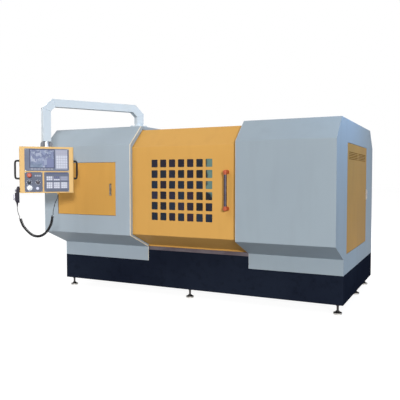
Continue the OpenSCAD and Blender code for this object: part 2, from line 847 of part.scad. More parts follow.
// Flange along a housing's edge: it stops just short of the door that slides behind it
module edge_flange(x0) {
    knee = front_path[1] + 0.06 * (front_path[2] - front_path[1]);
    outer = inset([knee, front_path[2], front_path[3], front_path[4], front_path[5]], sheet_t - 1);
    along_x(x0, x0 + sheet_t) polygon(concat(outer, backwards(inset(door_line, -lip_gap))));
}

module front_skin(x0, x1) {
    along_x(x0, x1) polygon(sheet(folded(front_path, fold_r), sheet_t));
}

module left_front_skin() {
    color(grey_paint) machine() difference() {
        union() {
            front_skin(0, left_w);
            edge_flange(left_w - sheet_t);
        }
        block([lad_x - door_gap, -belly - 1, lad_z - door_gap],
              [lad_x + lad_w + door_gap, -belly + sheet_t + 1, lad_z + lad_h + door_gap]);
    }
}

module right_front_skin() {
    color(grey_paint) machine() {
        front_skin(gap_x1, base_l);
        edge_flange(gap_x1);
    }
}

// End plate inside the folded skins
module end_plate(x0) {
    along_x(x0, x0 + sheet_t) polygon(inset(folded(shell_path, fold_r), sheet_t + 0.2));
}

module left_end_panel() {
    slots = 8;
    color(grey_paint) machine() difference() {
        end_plate(0);
        for (i = [0 : slots - 1]) block([-1, motor_y - 170, base_top + 90 + i * 30],
                                        [sheet_t + 1, motor_y + 170, base_top + 100 + i * 30]);
    }
}

module right_end_panel() {
    color(grey_paint) machine() difference() {
        end_plate(base_l - sheet_t);
        block([base_l - sheet_t - 1, rad_y - door_gap, rad_z - door_gap],
              [base_l + 1, rad_y + rad_w + door_gap, rad_z + rad_h + door_gap]);
    }
}

// Wall between the working space and the drive; the sliding door passes before it
module left_partition() {
    keep = inset(door_line, 42);
    notch_y = rail_y + rail_w / 2 + sheet_t + 4;
    notch_z = rail_low - 6;
    bay = 8;
    color(grey_paint) machine() difference() {
        intersection() {
            end_plate(partition_x);
            along_x(partition_x, partition_x + sheet_t) polygon(concat(
                [[70, base_top - 1], [70, keep[0][1]]], [for (i = [0 : 2]) keep[i]],
                [[keep[2][0] + (notch_z - keep[2][1]) * brow_lean, notch_z], [notch_y, notch_z],
                 [notch_y, roof_z], [base_d, roof_z], [base_d, base_top - 1]]
            ));
        }
        block([partition_x - 1, bed_y0 - bay, base_top - 1],
              [partition_x + sheet_t + 1, bed_y1 + bay, way_z + bay]);
        block([partition_x - 1, bed_y0 - bed_foot_w - bay, base_top - 1],
              [partition_x + sheet_t + 1, bed_y1 + bed_foot_w + bay,
               base_top + bed_foot_t + 12 + bay]);
        on_spindle() x_rod(partition_x - 1, partition_x + sheet_t + 1, flange_r + 12);
    }
}

seam = 0.5;

// Three roof sheets, folded down over the slope at the back. The middle one lies lower, so that
// the door's head hides it, and the other two are turned down onto it along their inner edges
module roof_panel() {
    mid_z = roof_z - mid_drop;
    web_y = rail_y + rail_w / 2;
    fold = base_d - rear_run;
    mid_path = [[web_y, rail_low], [web_y, mid_z], [fold + mid_drop, mid_z],
                [base_d, roof_z - rear_run], [base_d, roof_z - rear_run - 40]];
    edge = [
        [roof_edge_y, roof_z - 1], [roof_edge_y, head_z + 6], [web_y, head_z + 6],
        [web_y, mid_z - 1], [fold + mid_drop - 2, mid_z - 1], [fold, roof_z - 1],
    ];
    color(grey_paint) machine() {
        along_x(0, left_w - seam) polygon(sheet(folded(rear_path, fold_r), sheet_t));
        along_x(left_w - seam - sheet_t, left_w - seam) polygon(edge);
        along_x(left_w, gap_x1) polygon(sheet(folded(mid_path, 6), sheet_t));
        along_x(gap_x1 + seam, base_l) polygon(sheet(folded(rear_path, fold_r), sheet_t));
        along_x(gap_x1 + seam, gap_x1 + seam + sheet_t) polygon(edge);
    }
}

module back_sheet(x0, x1, vents) {
    difference() {
        block([x0, base_d - sheet_t, base_top], [x1, base_d, roof_z - rear_run - 40]);
        for (i = [0 : vents - 1]) block([(x0 + x1) / 2 - 200, base_d - sheet_t - 1, roof_z - 480 + i * 30],
                                        [(x0 + x1) / 2 + 200, base_d + 1, roof_z - 470 + i * 30]);
    }
}

module back_panels() {
    color(grey_paint) machine() {
        back_sheet(0, left_w - seam, 6);
        back_sheet(left_w, gap_x1, 0);
        back_sheet(gap_x1 + seam, base_l, 6);
    }
}

// ---------------------------------------------------------------- sliding door

// Sill with the groove that the door's lower edge runs in
module door_sill() {
    color("#8E969C") machine() difference() {
        union() {
            block([left_w, 0, sill_z], [gap_x1, 50, sill_top]);
            block([track_x0, track_y0, sill_z], [left_w + 1, 50, sill_top]);
        }
        block([track_x0 - 1, toe_y - slip - 2.5, sill_top - 16],
              [gap_x1 + 1, toe_y + sheet_t + slip + 2.5, sill_top + 1]);
    }
}

// Slotted track behind the door's head, in which its two glides run. A web hangs it from the
// left housing's roof, and the middle roof's front lip carries it over the opening
module door_rail() {
    z1 = rail_low + rail_h;
    color(steel) machine() {
        along_x(track_x0, gap_x1 - 4) polygon([
            for (m = [[-1, 0], [1, 1]]) each
                let (half = [
                    [rail_w / 2, rail_low], [rail_w / 2, z1], [rail_slot / 2, z1],
                    [rail_slot / 2, z1 - rail_t], [rail_w / 2 - rail_t, z1 - rail_t],
                    [rail_w / 2 - rail_t, rail_low + rail_t],
                ])
                [for (k = m[1] == 0 ? half : backwards(half)) [rail_y + m[0] * k[0], k[1]]]
        ]);
        block([track_x0, rail_y + rail_w / 2 - 0.5, rail_low],
              [left_w - 6, rail_y + rail_w / 2 + sheet_t, roof_z - sheet_t]);
    }
}

door_x0 = left_w - 20;
door_x1 = gap_x1 + 20;
win_x0 = left_w + win_x;
win_z0 = chin_z + win_lift;

// One sheet folded into five faces, with flanged sides, rows of windows and two glides
module front_door() {
    lip = 68;
    side = 28;
    path = concat([[toe_y, sill_top - 12]], door_line, [[head_y + lip, head_z]]);
    glide = 120;
    seat = rail_low + rail_t + slip;
    color(yellow_paint) machine() difference() {
        union() {
            along_x(door_x0, door_x1) polygon(sheet(folded(path, fold_r), sheet_t));
            for (x = [door_x0, door_x1 - sheet_t]) along_x(x, x + sheet_t)
                polygon(concat(inset(door_line, 2), backwards(inset(door_line, side))));
            for (x = [door_x0 + 100, door_x1 - 100 - glide]) {
                block([x, rail_y - 5, seat + 1], [x + glide, rail_y + 5, head_z - 1]);
                block([x, rail_y - 15, seat], [x + glide, rail_y + 15, seat + 13]);
            }
        }
        for (c = [0 : win_cols - 1], r = [0 : win_rows - 1])
            translate([win_x0 + c * win_px, 0, win_z0 + r * win_pz])
                along_y(door_y - 1, door_y + sheet_t + 1) rounded_rect(win_w, win_h, 6, 45);
        for (z = handle_zs) translate([handle_x, 0, z])
            y_rod(door_y - 1, door_y + sheet_t + 1, 5 + seat_fit);
    }
}

module door_pane() {
    over = 22;
    color("#2A2226", 0.8) machine() block(
        [win_x0 - over, door_y + sheet_t, win_z0 - over],
        [win_x0 + (win_cols - 1) * win_px + win_w + over, door_y + sheet_t + pane_t,
         win_z0 + (win_rows - 1) * win_pz + win_h + over]);
}

handle_x = gap_x1 - 93;
handle_z = door_low + 264;
handle_zs = [handle_z + 8, handle_z + handle_l - 8];

module door_handle() {
    color("#33363B") machine() translate([handle_x, door_y - handle_out, handle_z])
        cylinder(r = handle_r, h = handle_l);
}

// End pieces of the handle: a turned stand-off with a rounded nose, a blind socket for the rod
// in its side, and a screw spigot in the door
module handle_mounts() {
    r = handle_r + 6;
    nose = handle_r + 5;
    color("#C8442E") machine() for (e = [0, 1]) {
        difference() {
            translate([handle_x, door_y, handle_zs[e]]) {
                turned_out([[-sheet_t - 4, 5], [0, 5], [0, r], [handle_out + nose - 8, r],
                            [handle_out + nose - 2.5, r - 3], [handle_out + nose, r - 9]]);
                cylinder_to(e == 0 ? 1 : -1, handle_r + 3.5, r + 3);
            }
            translate([handle_x, door_y - handle_out, handle_z])
                cylinder(r = handle_r + seat_fit, h = handle_l);
        }
    }
}

// Short collar around the rod, above (1) or below (-1) a stand-off's axis
module cylinder_to(way, r, h) {
    translate([0, -handle_out, way > 0 ? 0 : -h]) cylinder(r = r, h = h);
}

// ---------------------------------------------------------------- access doors

lad_z = chin_z + lad_lift;
rad_z = base_top + rad_lift;
pin_in = 8;      // hinge pin's distance from the door's edge and face
pin_r = 4;
cam_r = 6;
lad_latch = [lad_w - 56, 252];
rad_latch = [rad_w - 15, rad_h / 2 + 4];

// Folded pan, face towards -Y: rounded upright edges, open behind, pin holes above and below
module pan(w, h, latch) {
    r = 5;
    face = concat([[w, pan_d]], [for (s = [0 : 22.5 : 90]) [w - r + r * cos(s), r - r * sin(s)]],
                  [for (s = [90 : 22.5 : 180]) [r + r * cos(s), r - r * sin(s)]], [[0, pan_d]]);
    difference() {
        linear_extrude(h) polygon(face);
        block([sheet_t, sheet_t, sheet_t], [w - sheet_t, pan_d + 1, h - sheet_t]);
        for (z = [-1, h - sheet_t - 1]) translate([pin_in, pin_in, z])
            cylinder(r = pin_r + run_fit, h = sheet_t + 2);
        translate([latch[0], 0, latch[1]]) y_rod(-1, sheet_t + 1, cam_r + run_fit);
    }
}

module at_left_door() {
    translate([lad_x, -belly, lad_z]) children();
}

module at_end_door() {
    translate([base_l, rad_y, rad_z]) rotate([0, 0, 90]) children();
}

module left_access_door() {
    color(yellow_paint) machine() at_left_door() pan(lad_w, lad_h, lad_latch);
}

module end_access_door() {
    slot_h = 6;
    slot_p = 15;
    side = 70;
    color(yellow_paint) machine() at_end_door() difference() {
        pan(rad_w, rad_h, rad_latch);
        for (i = [0 : louvres - 1], k = [0, 1])
            translate([k == 0 ? side : rad_w / 2 + 20, 0, rad_h - 140 + i * slot_p])
                block([0, -1, 0], [rad_w / 2 - 20 - side, sheet_t + 1, slot_h]);
    }
}

// Brackets behind the panels, each with a pin that a door turns on, and the latch's keeper
module hinge_pins(w, h, latch) {
    block([w + door_gap + 1, sheet_t, latch[1] - 16], [w + door_gap + 20, pan_d - slip, latch[1] + 16]);
    for (s = [-1, 1]) {
        foot = s < 0 ? -door_gap - 17 : h + door_gap + 1;
        block([-12, sheet_t, foot], [30, 22, foot + 16]);
        translate([pin_in, pin_in, s < 0 ? -door_gap - 2 : h - 14])
            cylinder(r = pin_r, h = door_gap + 16);
    }
}

module access_hinges() {
    color(dark_steel) machine() {
        at_left_door() hinge_pins(lad_w, lad_h, lad_latch);
        at_end_door() hinge_pins(rad_w, rad_h, rad_latch);
    }
}

// Lever on the face, spindle through it and a locking cam behind
module latch_lever(l, cam) {
    w = 14;
    along_y(-12, -4) translate([-w / 2, -l / 2]) rounded_rect(w, l, 5);
    along_y(-5, 0) translate([-w / 2 - 3, -l / 2 - 5]) rounded_rect(w + 6, l + 10, 6);
    y_rod(-2, pan_d + 1, cam_r);
    block([-7, pan_d, -cam], [7, pan_d + 5, 7]);
}

module left_latch() {
    color(steel) machine() at_left_door()
        translate([lad_latch[0], 0, lad_latch[1]]) latch_lever(107, lad_w - lad_latch[0] + 18);
}

module end_latch() {
    color(steel) machine() at_end_door()
        translate([rad_latch[0], 0, rad_latch[1]]) latch_lever(94, rad_w - rad_latch[0] + 18);
}

// ---------------------------------------------------------------- pendant arm

post_hub = 30;       // height of the post's hub above the roof
spigot_l = 66;
post_spigot = 25;
drop_spigot = 20;
drop_hub = 50;
arm_top = roof_z + arm_h;
arm_foot = roof_z + post_hub + slip;
drop_z = pend_top + drop_hub + slip;

module arm_post() {
    flange = 130;
    flange_t = 8;
    color("#CBD6DE") machine() translate([post_x, post_y, roof_z]) {
        translate([-flange / 2, -flange / 2, 0]) linear_extrude(flange_t)
            rounded_rect(flange, flange, 12);
        cylinder(r = arm_t / 2 + 7, h = post_hub);
        cylinder(r = post_spigot, h = post_hub + spigot_l);
        for (x = [-1, 1], y = [-1, 1]) translate([x * 50, y * 50, flange_t - 1])
            cylinder(r = 9, h = 7, $fn = 6);
    }
}

// Square tube cut on the mitre and welded: a leg, a boom and a drop
module pendant_arm() {
    half = arm_t / 2;
    path = [
        [-half, arm_foot], [-half, arm_top - arm_c], [-half + arm_c, arm_top],
        [arm_reach + half - arm_c, arm_top], [arm_reach + half, arm_top - arm_c],
        [arm_reach + half, drop_z],
    ];
    color("#CBD6DE") machine() translate([post_x, post_y, 0]) rotate([0, 0, arm_a]) difference() {
        along_y(-half, half) polygon(sheet(path, arm_t));
        translate([0, 0, arm_foot - 1]) cylinder(r = post_spigot + run_fit, h = spigot_l + 4);
        translate([arm_reach, 0, drop_z - 1]) cylinder(r = drop_spigot + run_fit, h = spigot_l + 4);
    }
}

// Swivel coupling on the pendant: a bright hub between two lugs on a foot plate, with a spigot
// that turns in the arm's drop
module pendant_swivel() {
    hub = 28;
    lug = 23;
    lug_h = drop_hub - 7;
    color("#8F999F") machine() at_pendant() translate([0, 0, pend_top]) {
        translate([-hub - lug - 1, -30, 0]) linear_extrude(6)
            rounded_rect(2 * (hub + lug + 1), 60, 6);
        cylinder(r = hub + 4, h = 12);
        cylinder(r = hub, h = drop_hub);
        cylinder(r = drop_spigot, h = drop_hub + spigot_l);
        for (m = [-1, 1]) {
            along_y(-22, 22) polygon([
                for (k = [[hub - 3, 5], [hub + lug, 5], [hub + lug, lug_h - 10],
                          [hub + lug - 6, lug_h], [hub - 3, lug_h]]) [m * k[0], k[1]]
            ]);
            for (y = [-11, 11]) translate([m * (hub + lug / 2 - 1), y, lug_h - 1])
                cylinder(r = 6, h = 5, $fn = 6);
        }
    }
}

// ---------------------------------------------------------------- pendant

face_out = 46;                  // the face's distance before the swivel's axis
face_y = -face_out;
plate_out = 4;
upper_h = 200;
lower_h = 178;
panel_w = 386;
left_panel = 153;
upper_z = pend_top - 18 - upper_h;
lower_z = upper_z - 10 - lower_h;
panel_face = face_y - plate_out;
stop_at = [-155, pend_z + 160];
mode_at = [-155, pend_z + 96];
feed_at = [-81, pend_z + 96];
override_at = [-151, pend_z + 46];
key_at = [-83, pend_z + 41];
well_r = 15;
gland_x = 98;
gland_l = 14;

module pendant_box() {
    color(yellow_paint) machine() at_pendant() difference() {
        union() {
            translate([-pend_w / 2, face_y, pend_z]) linear_extrude(pend_h)
                rounded_rect(pend_w, pend_d, 10);
            translate([gland_x, 0, pend_z - gland_l]) cylinder(r = 9, h = gland_l + 1);
        }
        block([-panel_w / 2 + 12, face_y - 1, upper_z + 12],
              [panel_w / 2 - 12, face_y + 36, upper_z + upper_h - 12]);
        for (c = [stop_at, mode_at, feed_at, override_at, key_at]) translate([c[0], 0, c[1]])
            y_rod(face_y - 1, face_y + 34, well_r);
    }
}

module pendant_handles() {
    out = 48;
    t = 12;
    z0 = pend_z + 121;
    z1 = z0 + 177;
    path = folded([[0, z1 - t], [out, z1 - t], [out, z0 + t], [0, z0 + t]], 12);
    color(black_plastic) machine() at_pendant() for (s = [-1, 1])
        translate([s * pend_w / 2, 20, 0]) scale_x(s) along_y(-9, 9)
            polygon(concat(path, backwards(inset(path, -t))));
}

module scale_x(s) {
    if (s < 0) mirror([1, 0, 0]) children();
    else children();
}

module keys(x0, z0, cols, rows, px, pz, w, h, out) {
    for (c = [0 : cols - 1], r = [0 : rows - 1]) translate([x0 + c * px, 0, z0 + r * pz])
        block([0, panel_face - out, 0], [w, panel_face + 1, h]);
}

// Control unit: bezel, display behind its edge, sealed keypad at the right, body in the box
module screen_unit() {
    body_d = 32;
    color(slate_plastic) machine() at_pendant() {
        difference() {
            block([-panel_w / 2, panel_face, upper_z], [panel_w / 2, face_y, upper_z + upper_h]);
            block([-144, panel_face - 1, upper_z + 32], [59, panel_face + 2, upper_z + 190]);
        }
        block([-panel_w / 2 + 14, face_y - 0.5, upper_z + 14],
              [panel_w / 2 - 14, face_y + body_d, upper_z + upper_h - 14]);
        keys(82, upper_z + 26, 5, 7, 20, 23, 17, 19, 1.2);
        keys(-140, upper_z + 10, 7, 1, 28.5, 1, 22, 14, 1.2);
    }
}

// Lower plates: the left one carries the knobs, the right one three blocks of keys
module operator_panel() {
    right_x = -panel_w / 2 + left_panel + 14;
    color(slate_plastic) machine() at_pendant() difference() {
        union() {
            block([-panel_w / 2, panel_face, lower_z],
                  [-panel_w / 2 + left_panel, face_y, lower_z + lower_h]);
            block([right_x, panel_face, lower_z], [panel_w / 2, face_y, lower_z + lower_h]);
            translate([stop_at[0], 0, stop_at[1]]) y_rod(panel_face - 4, panel_face + 1, 24);
            for (b = [0 : 2]) {
                keys(right_x + 22 + b * 64, pend_z + 114, 3, 2, 17, 19, 14, 16, 2);
                keys(right_x + 22 + b * 64, pend_z + 42, 3, 3, 17, 19, 14, 16, 2);
            }
            keys(feed_at[0] - 26, pend_z + 148, 3, 1, 19, 1, 14, 14, 2);
        }
        translate([stop_at[0], 0, stop_at[1]]) y_rod(panel_face - 5, face_y + 1, 8 + run_fit);
        for (c = [mode_at, feed_at, override_at, key_at]) translate([c[0], 0, c[1]])
            y_rod(panel_face - 1, face_y + 1, 5 + run_fit);
    }
}

// A pressed-in control: pairs of [distance before the plate, radius], turned about Y
module turned_out(profile) {
    rotate([90, 0, 0]) rotate_extrude() polygon(concat(
        [[0, profile[0][0]]], [for (p = profile) [p[1], p[0]]], [[0, profile[len(profile) - 1][0]]]));
}

module stop_button() {
    color("#C9392B") machine() at_pendant() translate([stop_at[0], panel_face, stop_at[1]])
        turned_out([[-22, 8], [14, 8], [14, 19], [17, 21], [23, 21], [28, 18], [30, 12]]);
}

// Rotary knob with a pointer rib; its shaft turns in the plate
module knob(r, h, rib) {
    turned_out([[-20, 5], [1, 5], [1, r], [h - 2, r], [h, r - 2]]);
    block([-1.5, -h - rib, 0], [1.5, -2, r - 0.5]);
}

module mode_knob() {
    color(black_plastic) machine() at_pendant() translate([mode_at[0], panel_face, mode_at[1]])
        knob(16, 18, 1.5);
}

module feed_knob() {
    color(black_plastic) machine() at_pendant() translate([feed_at[0], panel_face, feed_at[1]])
        knob(16, 18, 1.5);
}

module override_dial() {
    color("#DDE0E2") machine() at_pendant() translate([override_at[0], panel_face, override_at[1]])
        turned_out([[-20, 5], [1, 5], [1, 22], [4, 22], [5, 12], [20, 12], [22, 10]]);
}

module key_switch() {
    color("#DDE0E2") machine() at_pendant() translate([key_at[0], panel_face, key_at[1]]) {
        turned_out([[-20, 5], [1, 5], [1, 13], [4, 13], [5, 9], [12, 9]]);
        block([-1.5, -32, -9], [1.5, -10, 9]);
    }
}

// ---------------------------------------------------------------- hand-held wheel and its cord

wheel_z = pend_z - 87;
wheel_h = 146;
wheel_at = wheel_z + 50;        // height of the dial's axis
knob_at = wheel_z + 109;        // height of the two selectors' axes
knob_y = 19;
knob_in = 12;                   // how far the selectors' face lies behind the dial's face
knob_x = wheel_x + knob_in;
cable_x = -pend_w / 2 - wheel_gap - wheel_d / 2;
sleeve_l = 36;

// Case of the portable handwheel: deep at the dial, stepped back at the selectors and tapered to
// the cord. The magnet on its back holds it to the pendant's side
module handwheel_box() {
    back = wheel_x + wheel_d;
    top = wheel_z + wheel_h;
    color(black_plastic) machine() at_pendant() difference() {
        union() {
            intersection() {
                translate([0, 0, wheel_z]) along_x(wheel_x, back)
                    translate([-wheel_w / 2, 0]) rounded_rect(wheel_w, wheel_h, 14);
                along_y(-wheel_w / 2, wheel_w / 2) polygon([
                    [back, wheel_z], [back, top], [knob_x + 11, top], [knob_x, knob_at + 16],
                    [knob_x, knob_at - 14], [wheel_x, wheel_at + 36], [wheel_x, wheel_at - 31],
                    [wheel_x + 4, wheel_at - 37], [cable_x - 9, wheel_z],
                ]);
            }
            block([back - 1, -22, pend_z + 6], [-pend_w / 2, 22, pend_z + 50]);
            translate([cable_x, 0, wheel_z - sleeve_l])
                cylinder(r1 = cord_d / 2 + 0.8, r2 = 8.5, h = sleeve_l + 1);
        }
        translate([0, 0, wheel_at]) x_rod(wheel_x - 1, wheel_x + 22, 5 + run_fit);
        for (y = [-knob_y, knob_y]) translate([0, y, knob_at])
            x_rod(knob_x - 1, knob_x + 16, 3 + run_fit);
    }
}

// Pairs of [distance before the case, radius], turned about X
module turned_aside(profile) {
    rotate([0, 0, -90]) turned_out(profile);
}

module handwheel_dial() {
    color("#D5D8DB") machine() at_pendant() translate([wheel_x, 0, wheel_at]) {
        turned_aside([[-20, 5], [0.5, 5], [0.5, 28], [6, 28], [7, 26], [12, 25], [13.5, 23]]);
        translate([0, 0, 16]) turned_aside([[13, 5], [17, 5], [18.5, 3.5]]);
    }
}

module handwheel_axis_knob() {
    color("#2B2D31") machine() at_pendant() translate([knob_x, -knob_y, knob_at]) {
        turned_aside([[-14, 3], [0.5, 3], [0.5, 10], [11, 9]]);
        block([-12, -1, 0], [-2, 1, 9.5]);
    }
}

module handwheel_step_knob() {
    color("#2B2D31") machine() at_pendant() translate([knob_x, knob_y, knob_at]) {
        turned_aside([[-14, 3], [0.5, 3], [0.5, 10], [11, 9]]);
        block([-12, -1, 0], [-2, 1, 9.5]);
    }
}

// A round cord hung in the pendant's own XZ plane, through points given as [x, z]
function curve_at(p, i, t) =
    let (
        n = len(p) - 1,
        a = i == 0 ? 2 * p[0] - p[1] : p[i - 1],
        b = p[i],
        c = p[i + 1],
        d = i + 2 > n ? 2 * p[n] - p[n - 1] : p[i + 2]
    )
    0.5 * (2 * b + (c - a) * t + (2 * a - 5 * b + 4 * c - d) * t * t
        + (3 * b - a - 3 * c + d) * t * t * t);
function curve(p, steps) = [
    for (i = [0 : len(p) - 2], s = [0 : steps - 1]) curve_at(p, i, s / steps),
    p[len(p) - 1],
];
function heading(q, i) = unit(q[min(i + 1, len(q) - 1)] - q[max(i - 1, 0)]);

module cord(p, r, sides, steps) {
    q = curve(p, steps);
    n = len(q);
    rings = [
        for (i = [0 : n - 1], k = [0 : sides - 1])
            let (h = heading(q, i), a = k * 360 / sides)
            [q[i][0] - r * cos(a) * h[1], r * sin(a), q[i][1] + r * cos(a) * h[0]]
    ];
    faces = concat(
        [[for (k = [sides - 1 : -1 : 0]) k]],
        [for (i = [0 : n - 2], k = [0 : sides - 1])
            [i * sides + k, i * sides + (k + 1) % sides,
             (i + 1) * sides + (k + 1) % sides, (i + 1) * sides + k]],
        [[for (k = [0 : sides - 1]) (n - 1) * sides + k]]
    );
    polyhedron(points = rings, faces = faces);
}

// Low point and ends of the curly stretch, below the pendant's underside
curl = [
    [cable_x + 22, pend_z - 222], [-212, pend_z - 292], [-171, pend_z - 347],
    [-130, pend_z - 384], [-83, pend_z - 397], [-36, pend_z - 383], [4, pend_z - 343],
    [34, pend_z - 282], [48, pend_z - 206],
];
join = 0.3;
curl_in = curl[0] - join * unit(curl[1] - curl[0]);
curl_out = curl[8] + join * unit(curl[8] - curl[7]);

module cord_coil() {
    color(black_plastic) machine() at_pendant() cord(curl, curl_d / 2, 12, 6);
}

module cord_tails() {
    color(black_plastic) machine() at_pendant() {
        cord([[cable_x, wheel_z - sleeve_l - join], [cable_x + 1, wheel_z - 68],
              [cable_x + 10, wheel_z - 106], curl_in], cord_d / 2, 10, 6);
        cord([curl_out, curl_out + [7, 48], [70, pend_z - 98], [91, pend_z - 50],
              [gland_x, pend_z - gland_l - join]], cord_d / 2, 10, 6);
    }
}

// ---------------------------------------------------------------- the assembly
base_frame();
levelling_feet();
bed_casting();
headstock();
spindle_bearings();
spindle();
faceplate();
spindle_pulley();
drive_belt();
main_motor();
motor_pulley();
saddle();
saddle_screw();
saddle_motor();
cross_slide();
cross_screw();
cross_motor();
roller_fork();
forming_roller();
tailstock();
quill();
tailstock_cylinder();
pressure_pad();
control_cabinet();
left_front_skin();
right_front_skin();
left_end_panel();
right_end_panel();
left_partition();
roof_panel();
back_panels();
door_sill();
door_rail();
front_door();
door_pane();
door_handle();
handle_mounts();
left_access_door();
end_access_door();
access_hinges();
left_latch();
end_latch();
arm_post();
pendant_arm();
pendant_swivel();
pendant_box();
pendant_handles();
screen_unit();
operator_panel();
stop_button();
mode_knob();
feed_knob();
override_dial();
key_switch();
handwheel_box();
handwheel_dial();
handwheel_axis_knob();
handwheel_step_knob();
cord_tails();
cord_coil();
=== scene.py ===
"""Enclosed spinning lathe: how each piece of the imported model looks. Everything is in metres."""

import math

import bpy
import numpy as np
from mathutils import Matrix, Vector


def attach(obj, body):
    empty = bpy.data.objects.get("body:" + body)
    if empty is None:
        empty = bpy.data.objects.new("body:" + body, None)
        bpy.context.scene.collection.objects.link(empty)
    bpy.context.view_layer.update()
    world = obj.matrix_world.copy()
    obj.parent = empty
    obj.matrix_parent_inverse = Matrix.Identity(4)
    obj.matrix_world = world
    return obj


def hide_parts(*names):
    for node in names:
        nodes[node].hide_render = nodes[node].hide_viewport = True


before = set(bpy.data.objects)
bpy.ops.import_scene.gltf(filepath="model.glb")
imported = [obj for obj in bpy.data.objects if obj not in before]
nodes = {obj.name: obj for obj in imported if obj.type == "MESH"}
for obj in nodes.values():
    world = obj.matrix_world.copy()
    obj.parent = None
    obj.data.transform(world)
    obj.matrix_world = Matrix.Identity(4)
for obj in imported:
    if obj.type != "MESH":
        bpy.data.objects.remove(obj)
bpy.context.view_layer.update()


# ---- Camera. A long lens 1.2 m above the floor, in front of the machine's right end, turned 26
# degrees to the left. It stands about 5.3 m away, so the left end looks smaller.
yaw, pitch = math.radians(26.15), math.radians(-2.47)
aim = Vector((-math.sin(yaw) * math.cos(pitch), math.cos(yaw) * math.cos(pitch), math.sin(pitch)))
eye = bpy.data.cameras.new("camera")
eye.sensor_width = 36.0
eye.lens = 47.06
camera = bpy.data.objects.new("camera", eye)
camera.location = (2.3528, -4.7779, 1.1866)
camera.rotation_euler = aim.to_track_quat("-Z", "Y").to_euler()
bpy.context.scene.collection.objects.link(camera)
bpy.context.scene.camera = camera


# ---- Handwheel's cord. A black polyurethane lead, 5 mm thick, wound as a spring for most of its
# length and straight at both ends. It hangs from the wheel's sleeve and goes into a gland under
# the pendant. It is a tube carried along the route that the CAD's plain cord follows.
post = np.array([0.99 - 1.5, -0.06 - 0.2706898])
arm_turn = math.radians(-123.0)
pendant_turn = math.radians(46.0)
arm_l = 0.92
pendant_at = post + arm_l * np.array([math.cos(arm_turn), math.sin(arm_turn)])
across = np.array([math.cos(pendant_turn), math.sin(pendant_turn), 0.0])
inward = np.array([-math.sin(pendant_turn), math.cos(pendant_turn), 0.0])
low = 1.047                       # the pendant's underside
cord_d = 0.005
curl_r = 0.0105                   # from the coil's middle to the lead's
curl_pitch = 0.0066
run_in = 0.038                    # length over which a straight end winds up
early = 0.024                     # how far before the coil's first point the winding starts
ring_gap, straight_gap = 0.0042, 0.008    # between the tube's rings, wound and straight
tail_in = [(-0.258, low - 0.1233), (-0.257, low - 0.155), (-0.248, low - 0.193)]
curl = [(-0.236, low - 0.222), (-0.212, low - 0.292), (-0.171, low - 0.347),
        (-0.130, low - 0.384), (-0.083, low - 0.397), (-0.036, low - 0.383),
        (0.004, low - 0.343), (0.034, low - 0.282), (0.048, low - 0.206)]
tail_out = [(0.055, low - 0.158), (0.070, low - 0.098), (0.091, low - 0.050),
            (0.098, low - 0.0143)]


def along(points, step):
    """Catmull-Rom curve through the points, resampled at an even step, and its running length.
    Between b and c: (2b + (c-a)t + (2a-5b+4c-d)t^2 + (3b-a-3c+d)t^3) / 2."""
    p = np.asarray(points, float)
    p = np.vstack([2 * p[0] - p[1], p, 2 * p[-1] - p[-2]])
    a, b, c, d = (q[:, None, :] for q in (p[:-3], p[1:-2], p[2:-1], p[3:]))
    t = np.linspace(0, 1, 40, endpoint=False)[None, :, None]
    q = 0.5 * (2 * b + (c - a) * t + (2 * a - 5 * b + 4 * c - d) * t ** 2
               + (3 * b - a - 3 * c + d) * t ** 3)
    q = np.vstack([q.reshape(-1, p.shape[1]), p[-2:-1]])
    run = np.concatenate([[0], np.cumsum(np.linalg.norm(np.diff(q, axis=0), axis=1))])
    s = np.linspace(0, run[-1], int(round(run[-1] / step)) + 1)
    return np.stack([np.interp(s, run, q[:, k]) for k in range(q.shape[1])], axis=1), s


def at_pendant(u, v, z):
    """Pendant coordinates (along its face, behind its axis, height) to the row frame."""
    flat = across * np.asarray(u, float)[..., None] + inward * np.asarray(v, float)[..., None]
    flat[..., :2] += pendant_at
    flat[..., 2] += z
    return flat


def curly_route():
    """The lead's centreline and the way to the outside of its coil at each point. Along the
    hanging line it winds at radius R w, where w grows from 0 to 1 over the run-in (3x^2 - 2x^3)
    and back. It turns k / (R (1 - k^2 w^2)^0.5) a metre, with k the sine of the coil's own slope,
    so the lead bends no tighter while it winds up than it does in the coil."""
    line, s = along(tail_in + curl + tail_out, 0.0004)
    start, stop = (s[np.argmin(np.linalg.norm(line - end, axis=1))]
                   for end in np.array([curl[0], curl[-1]]))
    x = np.clip((np.minimum(s - start, stop - s) + early) / run_in, 0, 1)
    w = x * x * (3 - 2 * x)
    slope = 2 * math.pi * curl_r / curl_pitch
    k = slope / math.hypot(1, slope)
    rate = np.where(w > 0, k / (curl_r * np.sqrt(1 - (k * w) ** 2)), 0)
    a = np.cumsum(rate * np.gradient(s))
    heading = np.gradient(line, axis=0)
    heading /= np.linalg.norm(heading, axis=1)[:, None]
    u = line[:, 0] - curl_r * w * np.cos(a) * heading[:, 1]
    z = line[:, 1] + curl_r * w * np.cos(a) * heading[:, 0]
    route = at_pendant(u, curl_r * w * np.sin(a), z)
    outside = across * (-np.cos(a) * heading[:, 1])[:, None] + inward * np.sin(a)[:, None]
    outside[:, 2] += np.cos(a) * heading[:, 0]
    run = np.concatenate([[0], np.cumsum(np.linalg.norm(np.diff(route, axis=0), axis=1))])
    places = np.cumsum(np.where(w > 0, 1 / ring_gap, 1 / straight_gap) * np.gradient(run))
    keep = np.searchsorted(places, np.linspace(places[0], places[-1], int(places[-1]) + 1))
    keep = np.minimum(keep, len(run) - 1)
    return route[keep], outside[keep]


